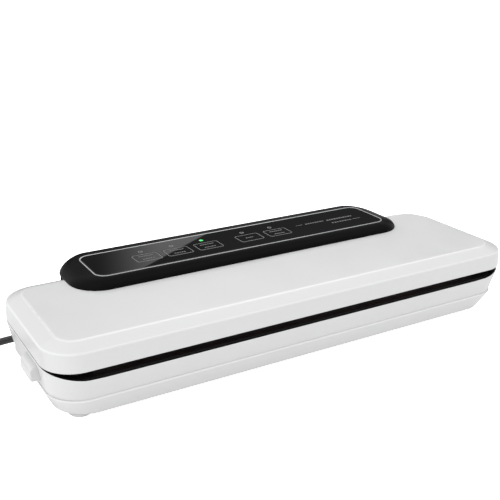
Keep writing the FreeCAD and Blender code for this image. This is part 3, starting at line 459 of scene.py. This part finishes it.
def softened(rows, steps):
    """Rows are (values, softness); each corner of the profile becomes a short curve."""
    path = []
    last = len(rows) - 1
    for index, (values, soft, *_) in enumerate(rows):
        if index in (0, last) or soft == 0:
            path.append(list(values))
            continue
        ends = []
        for other in (rows[index - 1][0], rows[index + 1][0]):
            run = math.hypot(other[0] - values[0], other[-1] - values[-1])
            part = min(0.49, soft / max(run, 1e-6))
            ends.append([v + (o - v) * part for v, o in zip(values, other)])
        for k in range(steps + 1):
            t = k / steps
            weights = ((1 - t) ** 2, 2 * t * (1 - t), t * t)
            trios = zip(ends[0], values, ends[1])
            path.append([sum(w * p for w, p in zip(weights, trio)) for trio in trios])
    return path


def ring_mesh(rings, caps=(True, True), gloss_and_painted_highlight=None):
    """A skin through closed rings with the same number of points, in millimetres. The amounts given
    per ring, from 0 to 1, say how much painted highlight and extra gloss each ring's edge gets."""
    bm = bmesh.new()
    # Vertex attribute carrying the painted highlight and extra gloss.
    layer = bm.verts.layers.float.new("gloss_and_painted_highlight") if gloss_and_painted_highlight else None
    rows = [[bm.verts.new(Vector(point) * MM) for point in ring] for ring in rings]
    if gloss_and_painted_highlight:
        for row, amount in zip(rows, gloss_and_painted_highlight):
            for vert in row:
                vert[layer] = amount
    for lower, upper in zip(rows, rows[1:]):
        for k in range(len(lower)):
            onward = (k + 1) % len(lower)
            bm.faces.new((lower[k], lower[onward], upper[onward], upper[k]))
    if caps[0]:
        bm.faces.new(rows[0][::-1])
    if caps[1]:
        bm.faces.new(rows[-1])
    return bm


def flat_ring(points, height):
    """Plan points lifted to a height."""
    return [(p[0], p[1], height) for p in points]


def bevelled(bm, edges, width, segments):
    """Rounds the given edges, with the width in millimetres."""
    bmesh.ops.bevel(bm, geom=edges, offset=width * MM, segments=segments, affect="EDGES", profile=0.5)


def soft_block(low, high, edge, segments=3, bm=None):
    """A box with rounded edges, in millimetres."""
    made = bmesh.new()
    bmesh.ops.create_cube(made, size=1.0)
    for vert in made.verts:
        vert.co = Vector([(a + b) / 2 + c * (b - a) for a, b, c in zip(low, high, vert.co)]) * MM
    if edge:
        bevelled(made, made.edges[:], edge, segments)
    return joined(bm, made)


def joined(bm, made):
    """Adds one bmesh to another, or gives it back when there is none yet."""
    if bm is None:
        return made
    mesh = bpy.data.meshes.new("part")
    made.to_mesh(mesh)
    made.free()
    bm.from_mesh(mesh)
    bpy.data.meshes.remove(mesh)
    return bm


def lathe(profile, at, along, steps, bm=None):
    """Turns (distance, radius) points, in millimetres, about an axis."""
    frame_turn = Vector(along).normalized().to_track_quat("Z", "Y").to_matrix()
    rings = []
    for distance, radius in profile:
        ring = []
        for k in range(steps):
            angle = 2 * math.pi * k / steps
            spot = Vector((radius * math.cos(angle), radius * math.sin(angle), distance))
            ring.append(Vector(at) + frame_turn @ spot)
        rings.append(ring)
    return joined(bm, ring_mesh(rings))


def prism(outline, axis, low, high, edge, segments=3, bm=None):
    """An outline in the plane across an axis, drawn out between two places, with soft edges."""
    index = "xyz".index(axis)
    made = bmesh.new()
    rows = []
    for place in (low, high):
        row = []
        for u, v in outline:
            spot = [u, v]
            spot.insert(index, place)
            row.append(made.verts.new(Vector(spot) * MM))
        rows.append(row)
    count = len(outline)
    for k in range(count):
        made.faces.new((rows[0][k], rows[0][(k + 1) % count], rows[1][(k + 1) % count], rows[1][k]))
    made.faces.new(rows[0][::-1])
    made.faces.new(rows[1])
    bmesh.ops.recalc_face_normals(made, faces=made.faces[:])
    sharp = [e for e in made.edges if len(e.link_faces) == 2 and e.calc_face_angle(0) > 0.4]
    if edge:
        bevelled(made, sharp, edge, segments)
    return joined(bm, made)


# ---------------------------------------------------------------- places read from the frame
LID_LOW, LID_HIGH = node_box("lid_shell")
SOLE_LOW, SOLE_HIGH = node_box("base_bottom_case")
CAP_LOW, CAP_HIGH = node_box("control_housing")
PANEL_LOW, PANEL_HIGH = node_box("control_panel")
SEAM = node_box("base_top_case")[0][2]
DECK = node_box("base_deck")[1][2]
FACE = PANEL_HIGH[2] - 0.1
# The rest repeats the record's CAD sizes, in millimetres.
FLARE = 0.65
HALF = LID_HIGH[0] - FLARE
FRONT = LID_LOW[1] + FLARE
BACK = LID_HIGH[1] - FLARE
CORNER = 23.4
WALL = 2.4
SHOULDER = LID_HIGH[2] - 3.7
BEVEL = 10.84
SEAM_INSET = 3.0
SOLE_INSET = 8.75
SPINE_HALF = 145.0
SPINE_BACK = SOLE_HIGH[1]
RIM = 39.3
SLOT_HALF = 163.0
SLOT_RUN = 38.0
LIP = 0.5
SILL = DECK - 1.1
SIDE_COUNTS = (30, 8, 30, 8)
CAP_RADIUS = 23.7
PANEL_RADIUS = 8.0
TRIM_RADIUS = 8.9
TRIM_WIDTH = 0.9
TRIM_LINE = 0.62
KEY_RADIUS = 2.2
KEY_GAP = 0.15
PRINT = 0.08
PRINT_SUNK = 0.1
HINGE_RELIEF = 4.9
EAR_RADIUS = 3.2
EAR_FOOT = 33.0
EAR_PLACES = (-131.0, -103.0, 103.0, 131.0)
BUTTON_FOOT = 25.9
SLIDER_END = 164.0
SLIDER_HEIGHTS = (28.6, 30.6)
KEY_NAMES = ("key_power", "key_vacuum", "key_seal", "key_pulse", "key_mode")


def plan(inset, radius=CORNER):
    """The machine's plan at an inset, as points with the same count at every height."""
    corners = box_corners(inset - HALF, HALF - inset, FRONT + inset, BACK - inset, radius)
    return soft_polygon(corners, 14, fixed=SIDE_COUNTS)


# ---------------------------------------------------------------- lid
def lid_shell():
    """Hollow lid with bevelled shoulders and soft edges that carry a painted highlight."""
    foot = LID_LOW[2]
    top = LID_HIGH[2]
    # Inset, radius and height of each row, its softness and how much painted highlight and extra gloss its
    # edge gets.
    rows = [
        ((BEVEL + 2, CORNER - BEVEL, top - WALL), 0),
        ((WALL, CORNER - WALL, SHOULDER - 1.2), 0.5),
        ((WALL - FLARE, CORNER - WALL, foot), 0.5),
        ((-FLARE, CORNER, foot), 0.7, 0.25),
        ((0.0, CORNER, SHOULDER), 1.4, 0.45),
        ((BEVEL, CORNER - BEVEL, top), 1.7, 0.45),
        ((BEVEL + 6, CORNER - BEVEL - 3, top), 0),
    ]
    rings = [flat_ring(plan(inset, radius), z) for inset, radius, z in softened(rows, 6)]
    skin = ring_mesh(rings, gloss_and_painted_highlight=painted_highlight_amounts(rows, 6))
    shell = to_object(skin, "lid_shell_skin", "white_shell", "lid")
    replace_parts(shell, "lid_shell")


def housing():
    """Domed black cap with a sunk frame for the panel."""
    foot = CAP_LOW[2]
    half = CAP_HIGH[0]
    front = CAP_LOW[1]
    back = CAP_HIGH[1]
    left = -PANEL_HIGH[0] - TRIM_WIDTH
    near = PANEL_LOW[1] - TRIM_WIDTH
    far = PANEL_HIGH[1] + TRIM_WIDTH
    # How far the dome is drawn in, how far its rear is, corner radius, height above the foot.
    steps = ((0.0, 0.0, CAP_RADIUS, 0.0), (0.3, 0.1, 23.5, 1.2), (2.6, 0.5, 21.5, 3.6),
             (7.0, 1.2, 17.5, 5.7), (12.0, 2.2, 13.5, 7.0))
    rows = []
    for drawn, rear, radius, rise in steps:
        values = (drawn * 1.06 - half, front + drawn * 0.49, back - rear, radius, foot + rise)
        rows.append((values, 1.8 if drawn else 0))
    ledge = FACE - 0.2
    rows += [
        ((left - 1.1, near - 0.7, far + 6.6, TRIM_RADIUS + 2.0, ledge - 0.05), 0.7),
        ((left - 0.6, near - 0.4, far + 1.2, TRIM_RADIUS + 0.4, ledge), 0.4),
        ((left, near, far, TRIM_RADIUS, ledge), 0.25),
        ((left, near, far, TRIM_RADIUS, ledge - 1.0), 0),
    ]
    rings = []
    for left, near, far, radius, z in softened(rows, 5):
        corners = box_corners(left, -left, near, far, radius)
        rings.append(flat_ring(soft_polygon(corners, 14, fixed=SIDE_COUNTS), z))
    cap = to_object(ring_mesh(rings), "control_housing_skin", "housing_black", "lid")
    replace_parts(cap, "control_housing")


def rim_line(left, right, front, back, radius, width, low, high, edge=0.12, rear=0.0):
    """A thin raised line that follows a rounded rectangle, and may be wider along its rear."""
    counts = (6, 2, 6, 2)
    far = back - width - rear
    inside = box_corners(left + width, right - width, front + width, far, radius - width)
    outer = soft_polygon(box_corners(left, right, front, back, radius), 8, fixed=counts)
    inner = soft_polygon(inside, 8, fixed=counts)
    inset = [p.lerp(q, edge / width) for p, q in zip(outer, inner)]
    outset = [q.lerp(p, edge / width) for p, q in zip(outer, inner)]
    rings = [flat_ring(inner, low), flat_ring(outer, low), flat_ring(outer, high - edge),
             flat_ring(inset, high), flat_ring(outset, high), flat_ring(inner, high - edge),
             flat_ring(inner, low)]
    bm = ring_mesh(rings, (False, False))
    bmesh.ops.remove_doubles(bm, verts=bm.verts[:], dist=1e-7)
    return bm


def panel():
    """Glossy sheet with soft edges and a well for each key, and the silver line round it."""
    top = FACE
    foot = PANEL_LOW[2]
    rings = []
    shrink = ((0.0, 0.55), (0.05, 0.3), (0.18, 0.12), (0.4, 0.02), (0.7, 0.0))
    for inset, drop in shrink:
        corners = box_corners(PANEL_LOW[0] + inset, PANEL_HIGH[0] - inset, PANEL_LOW[1] + inset,
                              PANEL_HIGH[1] - inset, PANEL_RADIUS - inset)
        rings.append(flat_ring(soft_polygon(corners, 14, fixed=SIDE_COUNTS), top - drop))
    rings.insert(0, [(x, y, foot) for x, y, z in rings[0]])
    sheet = ring_mesh(rings, (True, False))
    edge = set(v for v in sheet.verts if v.co.z > (top - 0.005) * MM)
    fill = [e for e in sheet.edges if all(v in edge for v in e.verts) and e.is_boundary]
    for name in KEY_NAMES:
        low, high = node_box(name)
        corners = box_corners(low[0] - KEY_GAP, high[0] + KEY_GAP, low[1] - KEY_GAP, high[1] + KEY_GAP,
                              KEY_RADIUS + KEY_GAP)
        hole = soft_polygon(corners, 6, 8)
        upper = [sheet.verts.new(Vector((p[0], p[1], top)) * MM) for p in hole]
        lower = [sheet.verts.new(Vector((p[0], p[1], foot + 0.2)) * MM) for p in hole]
        for k in range(len(hole)):
            onward = (k + 1) % len(hole)
            fill.append(sheet.edges.new((upper[k], upper[onward])))
            sheet.faces.new((upper[k], upper[onward], lower[onward], lower[k]))
    bmesh.ops.triangle_fill(sheet, use_beauty=True, use_dissolve=True, edges=fill)
    face = to_object(sheet, "control_panel_sheet", "panel_black", "lid", False)
    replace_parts(face, "control_panel")
    low, high = node_box("panel_trim")
    line = rim_line(low[0], high[0], low[1], high[1], TRIM_RADIUS, TRIM_LINE, low[2], FACE + 0.05,
                    rear=0.7)
    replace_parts(to_object(line, "panel_trim_line", "trim_silver", "lid"), "panel_trim")


def dashes(bm, middle, row, tall, gap, lengths):
    """A centred row of plain printed strokes."""
    start = middle - (sum(lengths) + gap * (len(lengths) - 1)) / 2
    for long in lengths:
        low = (start, row - tall / 2, FACE - PRINT_SUNK)
        bm = soft_block(low, (start + long, row + tall / 2, FACE + PRINT), 0.0, 1, bm)
        start += long + gap
    return bm


# Printed rows on the keys, from the key's middle, and on the panel: middle, row, height, gap, strokes.
ONE_ROW = ((0.0, 0.0, 1.3, 0.4, (1.5, 1.2, 1.6, 1.1)),)
TWO_ROWS = (
    (0.0, 2.9, 1.3, 0.5, (1.6, 1.3, 1.8, 1.2, 1.5, 1.7)),
    (0.0, -3.0, 1.3, 0.5, (1.5, 1.8, 1.2, 1.6, 1.3)),
)
PANEL_LINES = (
    (57.1, 38.0, 0.35, 0.75, (6.5,)),
    (110.1, 30.1, 0.35, 0.75, (7.9,)),
)
PANEL_ROWS = (
    (72.3, 37.9, 1.7, 0.7, (1.8, 1.5, 1.9, 1.3, 2.1, 1.5, 1.8, 1.4)),
    (97.4, 37.5, 1.9, 0.6, (2.0, 1.6, 1.8, 2.2, 1.5, 1.9, 1.4, 2.1, 1.7, 2.0, 1.5)),
    (94.6, 30.0, 1.7, 0.8, (1.7, 2.0, 1.5, 1.9, 1.6, 2.1, 1.4, 1.8)),
)


def keys():
    """Five flush caps, each with a printed outline and rows of short printed strokes."""
    top = FACE
    for name in KEY_NAMES:
        low, high = node_box(name)
        rings = []
        profile = ((0.0, low[2] + 1.4), (0.0, top - 0.25), (0.06, top - 0.1), (0.2, top - 0.01),
                   (0.35, top))
        for inset, z in profile:
            corners = box_corners(low[0] + inset, high[0] - inset, low[1] + inset, high[1] - inset,
                                  KEY_RADIUS - inset)
            rings.append(flat_ring(soft_polygon(corners, 6, fixed=(4, 2, 4, 2)), z))
        cap = to_object(ring_mesh(rings), name + "_cap", "key_black", name, False)
        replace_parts(cap, name)
        marks = rim_line(low[0] + 0.5, high[0] - 0.5, low[1] + 0.5, high[1] - 0.5, 1.8, 0.36,
                         top - PRINT_SUNK, top + PRINT, 0.03)
        middle = (low[0] + high[0]) / 2
        row = (low[1] + high[1]) / 2
        to_object(marks, name + "_marks", "print_grey", name, False)
        words = None
        for across_key, along_key, *rest in ONE_ROW if name == "key_pulse" else TWO_ROWS:
            words = dashes(words, middle + across_key, row + along_key, *rest)
        to_object(words, name + "_words", "print_faint", name, False)


def panel_marks():
    """Plain printed strokes at the right of the keys, and a thin ring round each light."""
    marks = None
    for stroke in PANEL_LINES:
        marks = dashes(marks, *stroke)
    words = None
    for strokes in PANEL_ROWS:
        words = dashes(words, *strokes)
    to_object(words, "panel_words", "print_faint", "lid", False)
    lit_low, lit_high = node_box("light_pipe_lit")
    light_y = (lit_low[1] + lit_high[1]) / 2
    width = lit_high[0] - lit_low[0]
    reach = width * 0.68
    for name in KEY_NAMES:
        low, high = node_box(name)
        middle = (low[0] + high[0]) / 2
        line = rim_line(middle - reach, middle + reach, light_y - reach, light_y + reach, width * 0.67, 0.4,
                        FACE - PRINT_SUNK, FACE + PRINT, 0.03)
        joined(marks, line)
    to_object(marks, "panel_marks", "print_grey", "lid", False)


# ---------------------------------------------------------------- base
def slot_rise(point):
    """How far a point of the plan lies up the ramp at the end of the bag slot, 0 to 1."""
    x, y = abs(point[0]), point[1]
    if y > FRONT + CORNER:
        return 1.0
    if x <= HALF - CORNER:
        run = x - SLOT_HALF
    else:
        turn = math.atan2(x - (HALF - CORNER), FRONT + CORNER - y)
        run = HALF - CORNER - SLOT_HALF + turn * CORNER
    return min(1.0, max(0.0, run / SLOT_RUN))


def slot_edge(point):
    """Height of the rim, which dips along the front to form the bag slot."""
    rise = slot_rise(point)
    return SILL + (RIM - SILL) * (0.55 * rise + 0.45 * rise * rise * (3 - 2 * rise))


def base_shell():
    """White wall of the base, whose front edge is sunk to make the bag slot."""
    outer_low = plan(SEAM_INSET + 0.15)
    outer_top = plan(-FLARE)
    lip = plan(LIP - FLARE)
    inner_low = plan(SEAM_INSET + WALL)
    rim = [slot_edge(p) for p in plan(0.0)]
    rise = [(z - SEAM) / (RIM - SEAM) for z in rim]

    def edge(drop, lean):
        """A line along the slot's edge, lowered by a drop and moved towards the lip's inside."""
        points = []
        for low_p, top_p, away, part, z in zip(outer_low, outer_top, lip, rise, rim):
            spot = low_p.lerp(top_p, part) + (away - top_p) * lean
            points.append((spot[0], spot[1], z - drop))
        return points

    shoulder = edge(0.5, 0.0)
    # Painted highlight and extra gloss along the lip of the bag slot.
    gloss_and_painted_highlight = [0.0] * 9 + [0.3, 0.8, 1.0, 0.8, 0.2, 0.0, 0.0]
    foot = flat_ring(outer_low, SEAM - 0.05)
    rings = [flat_ring([p.lerp(q, 0.1) for p, q in zip(outer_low, inner_low)], SEAM - 0.05), foot]
    for k in range(1, 7):
        rings.append([tuple(Vector(a).lerp(Vector(b), k / 7)) for a, b in zip(foot, shoulder)])
    rings.append(shoulder)
    turn = ((0.26, 0.05), (0.12, 0.18), (0.03, 0.38), (0.0, 0.62), (0.06, 0.85), (0.22, 1.0), (1.6, 1.0))
    rings += [edge(drop, lean) for drop, lean in turn]
    skin = ring_mesh(rings, (False, False), gloss_and_painted_highlight)
    shell = to_object(skin, "base_shell_skin", "white_shell", "base")
    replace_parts(shell, "base_top_case")
    dark_rim([edge(0.45, 0.9), edge(0.25, 1.6)], rim)


def dark_rim(rings, rim):
    """Dark inner wall that carries on from the white lip down to the deck."""
    inner = plan(WALL + 0.4)
    rings.append([(p[0], p[1], z - 0.25) for p, z in zip(inner, rim)])
    rings.append(flat_ring(inner, DECK - 0.6))
    dark = to_object(ring_mesh(rings, (False, False)), "base_dark_rim", "deck_black", "base")
    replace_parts(dark, "base_top_case")


def spine():
    """Rear spine with the hollow round the hinge axis and four ears for the pins."""
    pins_low, pins_high = node_box("hinge_pins")
    axis_y = (pins_low[1] + pins_high[1]) / 2
    axis_z = (pins_low[2] + pins_high[2]) / 2
    start = BACK - 1.5
    foot = SEAM + 0.12
    profile = [(start, foot), (SPINE_BACK, foot)]
    first = math.asin(-math.sqrt(HINGE_RELIEF ** 2 - (SPINE_BACK - axis_y) ** 2) / HINGE_RELIEF)
    last = -math.pi + math.asin((axis_z - RIM) / HINGE_RELIEF)
    for k in range(13):
        angle = first + (last - first) * k / 12
        profile.append((axis_y + HINGE_RELIEF * math.cos(angle), axis_z + HINGE_RELIEF * math.sin(angle)))
    profile.append((start, RIM - 0.05))
    bm = prism(profile, "x", 2.5 - SPINE_HALF, SPINE_HALF - 2.5, 0.0)
    end_wall = [(start, foot), (SPINE_BACK, foot), (SPINE_BACK, RIM), (start, RIM)]
    for side in (-1, 1):
        ends = sorted((side * (SPINE_HALF - 3.0), side * SPINE_HALF))
        prism(end_wall, "x", ends[0], ends[1], 0.9, 3, bm)
    ear = [(axis_y - EAR_RADIUS, EAR_FOOT), (axis_y + EAR_RADIUS, EAR_FOOT)]
    for k in range(13):
        angle = math.pi * k / 12
        ear.append((axis_y + EAR_RADIUS * math.cos(angle), axis_z + EAR_RADIUS * math.sin(angle)))
    for middle in EAR_PLACES:
        prism(ear, "x", middle - 3.0, middle + 3.0, 0.35, 2, bm)
    piece = to_object(bm, "base_spine", "white_shell", "base")
    piece.data.set_sharp_from_angle(angle=math.radians(40))
    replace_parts(piece, "base_top_case")


def bottom_case():
    """Lower case: tapered walls, a soft sole edge and the spine's foot, all one skin."""
    def around(inset, radius, z):
        """The plan of the base and its spine as one outline."""
        corners = [(inset - HALF, FRONT + inset, radius), (HALF - inset, FRONT + inset, radius),
                   (HALF - inset, BACK - inset, radius), (SPINE_HALF, BACK - inset, 1.0),
                   (SPINE_HALF, SPINE_BACK, 5.0), (-SPINE_HALF, SPINE_BACK, 5.0),
                   (-SPINE_HALF, BACK - inset, 1.0), (inset - HALF, BACK - inset, radius)]
        return flat_ring(soft_polygon(corners, 10, fixed=(30, 8, 3, 2, 24, 2, 3, 8)), z)

    sole = SOLE_LOW[2]
    # Each row: inset, radius and height, its softness, and the painted highlight and extra gloss of its edge;
    # the seam's step gets the most.
    rows = [
        ((SOLE_INSET + 8.0, CORNER - 6, sole), 0),
        ((SOLE_INSET, CORNER, sole), 1.6),
        ((SEAM_INSET - 0.6, CORNER, SEAM - 0.75), 0.6, 1.0),
        ((SEAM_INSET - 0.25, CORNER, SEAM - 0.05), 0.3, 1.0),
        ((SEAM_INSET + 0.8, CORNER, SEAM + 0.02), 0),
    ]
    rings = [around(inset, radius, z) for inset, radius, z in softened(rows, 6)]
    skin = ring_mesh(rings, (True, True), painted_highlight_amounts(rows, 6))
    case = to_object(skin, "base_bottom_skin", "white_shell", "base")
    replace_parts(case, "base_bottom_case")


# ---------------------------------------------------------------- feet and release buttons
def feet():
    """Rounded feet with a soft lower edge."""
    for name in ("foot_front_left", "foot_front_right", "foot_rear_left", "foot_rear_right"):
        low, high = node_box(name)
        middle = ((low[0] + high[0]) / 2, (low[1] + high[1]) / 2, low[2])
        radius = (high[0] - low[0]) / 2
        profile = [(0.0, radius - 3.4), (0.02, radius - 2.6), (0.2, radius - 1.7), (0.6, radius - 0.9),
                   (1.2, radius - 0.3), (2.0, radius - 0.05), (2.8, radius), (high[2] - low[2] + 0.8, radius)]
        foot = to_object(lathe(profile, middle, (0, 0, 1), 56), name + "_pad", "foot_light", "base")
        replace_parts(foot, name)


def release_buttons():
    """Wedge-shaped side buttons with softened edges, and their sliders behind the wall."""
    for side, name in ((-1, "release_button_left"), (1, "release_button_right")):
        low, high = node_box(name)
        reach = high[0] if side > 0 else -low[0]
        top = high[2]
        shape = [(HALF - 6.0, BUTTON_FOOT), (reach - 1.0, BUTTON_FOOT), (reach, BUTTON_FOOT + 1.2),
                 (reach, top - 3.4), (reach - 1.3, top - 1.2), (HALF + 0.6, top), (HALF - 6.0, top)]
        shape = [(x * side, z) for x, z in shape]
        bm = prism(shape, "y", low[1], high[1], 1.0, 4)
        ends = sorted((side * SLIDER_END, side * (HALF - 5.5)))
        foot, head = SLIDER_HEIGHTS
        for near, far in ((low[1] + 2, low[1] + 5.1), (high[1] - 5.1, high[1] - 2)):
            soft_block((ends[0], near, foot), (ends[1], far, head), 0.3, 2, bm)
        button = to_object(bm, name + "_pad", "button_white", name)
        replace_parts(button, name)


# ---------------------------------------------------------------- mains cord
# The cord's points repeat the route of its CAD solids.
CORD_RADIUS = 2.7
CORD_ROUTE = [
    (-171.0, 58.15, 10.0),
    (-186.0, 58.3, 9.8),
    (-201.0, 58.6, 8.3),
    (-216.0, 57.6, 4.9),
    (-231.5, 54.2, 3.0),
    (-246.5, 49.6, 3.1),
    (-259.5, 46.1, 3.25),
]
TAIL_ROUTE = [
    (-236.8, 67.0, 8.8),
    (-236.9, 56.0, 9.1),
    (-238.0, 45.0, 10.0),
    (-239.6, 34.5, 10.6),
]
COIL_AT = (-272.0, 80.0)
COIL_OUTER = 35.2
COIL_PITCH = 5.5
COIL_LOW = 3.25
COIL_TURNS = 5.75
COIL_STEPS = 16


def coil_points():
    """Two flat layers: inwards along the lower one, up, and outwards along the upper one."""
    points = []
    half = COIL_TURNS / 2
    total = round(COIL_TURNS * COIL_STEPS)
    for k in range(total + 1):
        turns = COIL_TURNS * k / total
        inward = turns if turns < half else COIL_TURNS - turns
        climb = min(1.0, max(0.0, (turns - half + 0.15) / 0.3))
        lift = COIL_PITCH * climb * climb * (3 - 2 * climb)
        radius = COIL_OUTER - COIL_PITCH * inward
        angle = math.radians(-90) - 2 * math.pi * turns
        x = COIL_AT[0] + radius * math.cos(angle)
        y = COIL_AT[1] + radius * math.sin(angle)
        points.append((x, y, COIL_LOW + lift))
    return points


def cord():
    """The mains cord as one spline: out of the case, round the coil and into the plug."""
    route = CORD_ROUTE + coil_points() + TAIL_ROUTE
    curve = bpy.data.curves.new("mains_cord", "CURVE")
    curve.dimensions = "3D"
    curve.bevel_depth = CORD_RADIUS * MM
    curve.bevel_resolution = 6
    curve.resolution_u = 6
    curve.use_fill_caps = True
    spline = curve.splines.new("NURBS")
    spline.points.add(len(route) - 1)
    for point, spot in zip(spline.points, route):
        point.co = [c * MM for c in spot] + [1]
    spline.order_u = 3
    spline.use_endpoint_u = True
    lead = bpy.data.objects.new("mains_cord", curve)
    bpy.context.scene.collection.objects.link(lead)
    lead.data.materials.append(MATERIALS["cord_black"])
    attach(lead, "base")
    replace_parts(lead, "power_cord", "cord_coil", "cord_tail")
    on_it = [plug(), blades(), cord_tie()]


def cord_tie():
    """A strap round one side of the coil, with a raised tab on top."""
    low, high = node_box("cord_tie")
    middle = (low[1] + high[1]) / 2
    outline = soft_polygon(box_corners(low[0], high[0], low[2], high[2], 3.0), 6, 4)
    inner = soft_polygon(box_corners(low[0] + 0.9, high[0] - 0.9, low[2] + 0.45, high[2] - 0.9, 2.4), 6, 4)
    count = min(len(outline), len(inner))
    rings = []
    for shape, places in ((outline, (low[1] + 0.3, high[1] - 0.3)), (inner, (high[1] - 0.3, low[1] + 0.3))):
        for place in places:
            rings.append([(p[0], place, p[1]) for p in shape[:count]])
    rings.append(rings[0])
    bm = ring_mesh(rings, (False, False))
    bmesh.ops.remove_doubles(bm, verts=bm.verts[:], dist=1e-7)
    tab_low = (low[0] + 3, middle - 2.6, high[2] - 0.9)
    tab_high = (low[0] + 8, middle + 2.6, high[2] - 0.05)
    soft_block(tab_low, tab_high, 0.3, 2, bm)
    tie = to_object(bm, "cord_tie_strap", "tie_black", "base", False)
    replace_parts(tie, "cord_tie")
    return tie


PLUG_AT = TAIL_ROUTE[-1]
PLUG_HEADING = -97.0


def plug_place(bm):
    """Moves a piece built along +X from the cord's end to where the plug lies."""
    turn = Matrix.Rotation(math.radians(PLUG_HEADING), 4, "Z")
    bmesh.ops.transform(bm, matrix=Matrix.Translation(Vector(PLUG_AT) * MM) @ turn, verts=bm.verts[:])
    return bm


def across(x, half_y, half_z, radius):
    """One rounded section of the plug."""
    points = soft_polygon(box_corners(-half_y, half_y, -half_z, half_z, radius), 8, fixed=(4, 4, 4, 4))
    return [(x, p[0], p[1]) for p in points]


def plug():
    """Moulded two-blade plug: ribbed sleeve, collar, waisted grip and a wide face."""
    # Place along the plug, half width, half thickness and corner radius of each section.
    sections = [
        (18.0, 3.6, 3.6, 3.5), (18.2, 6.6, 6.6, 6.4), (18.8, 7.0, 7.0, 6.9), (20.4, 7.0, 7.0, 6.9),
        (21.0, 6.6, 6.4, 6.0), (21.6, 6.4, 6.0, 5.4), (24.0, 7.9, 6.9, 5.2), (27.5, 8.5, 7.5, 4.6),
        (36.0, 8.5, 7.5, 4.4), (39.4, 8.5, 7.5, 4.4), (40.2, 9.0, 7.9, 4.6), (40.4, 12.0, 10.0, 5.0),
        (40.9, 12.5, 10.5, 5.2), (43.4, 12.5, 10.5, 5.2), (43.9, 12.1, 10.1, 5.0), (44.0, 11.4, 9.4, 4.6),
    ]
    bm = ring_mesh([across(*section) for section in sections])
    sleeve = [(0.0, 3.0)]
    for ring in range(5):
        start = 1.0 + 3.4 * ring
        outer = 4.6 + 0.2 * ring
        sleeve += [(start - 0.3, 3.6), (start, outer - 0.25), (start + 0.3, outer), (start + 1.9, outer),
                   (start + 2.2, outer - 0.25), (start + 2.5, 3.6)]
    sleeve.append((18.4, 3.6))
    lathe(sleeve, (0, 0, 0), (1, 0, 0), 32, bm)
    for up in (-1, 1):
        for rib in range(4):
            place = 28.6 + 2.3 * rib
            heights = sorted((up * 7.3, up * 7.85))
            soft_block((place, -5.4, heights[0]), (place + 1.1, 5.4, heights[1]), 0.25, 2, bm)
    body = to_object(plug_place(bm), "plug_moulding", "plug_black", "base")
    body.data.set_sharp_from_angle(angle=math.radians(50))
    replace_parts(body, "plug_body")
    return body


def blades():
    """Two flat blades with clipped corners."""
    outline = [(43.5, -3.1), (58.6, -3.1), (59.9, -1.9), (59.9, 1.9), (58.6, 3.1), (43.5, 3.1)]
    bm = None
    for y in (-6.35, 6.35):
        bm = prism(outline, "y", y - 0.75, y + 0.75, 0.2, 2, bm)
    pair = to_object(plug_place(bm), "plug_blade_pair", "blade_nickel", "base")
    pair.data.set_sharp_from_angle(angle=math.radians(40))
    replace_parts(pair, "plug_blades")
    return pair


def strain_relief():
    """Tapered sleeve with rounded ribs where the cord leaves the case."""
    low, high = node_box("strain_relief")
    start = (-SPINE_HALF, (low[1] + high[1]) / 2, (low[2] + high[2]) / 2)
    long = -SPINE_HALF - low[0]
    profile = [(-3.9, 2.8), (-3.9, 4.8), (-2.6, 4.8), (-2.6, 3.8), (0.0, 3.8), (0.0, 5.2), (0.3, 5.4),
               (1.7, 5.4), (2.0, 5.1)]
    ribs = 6
    pitch = (long - 4.0) / ribs
    for rib in range(ribs):
        at = 2.0 + pitch * rib
        outer = 5.05 - 0.22 * rib
        profile += [(at + 0.15, outer - 0.75), (at + pitch * 0.3, outer - 0.75),
                    (at + pitch * 0.42, outer - 0.15), (at + pitch * 0.52, outer),
                    (at + pitch * 0.86, outer), (at + pitch * 0.97, outer - 0.2)]
    profile += [(long - 1.9, 3.5), (long - 0.3, 3.4), (long - 0.05, 3.1), (long - 0.05, 2.75)]
    turned = lathe(profile, start, (-1, 0, 0), 36)
    sleeve = to_object(turned, "strain_relief_sleeve", "cord_black", "base")
    sleeve.data.set_sharp_from_angle(angle=math.radians(50))
    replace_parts(sleeve, "strain_relief")


# ---------------------------------------------------------------- the whole scene
def dress_cad_nodes():
    """Every CAD node that stays visible takes the material of its slot."""
    for part in frame["record"]["subparts"]:
        node = frame["nodes"][part["node"]]
        material = MATERIALS[part["material_slot"]]
        if not node.data.materials:
            node.data.materials.append(material)
        for slot in node.material_slots:
            slot.material = material


MATERIALS = make_materials()
dress_cad_nodes()
add_camera()
add_light()
add_floor()
cord()
strain_relief()
lid_shell()
housing()
panel()
keys()
panel_marks()
base_shell()
spine()
bottom_case()
feet()
release_buttons()
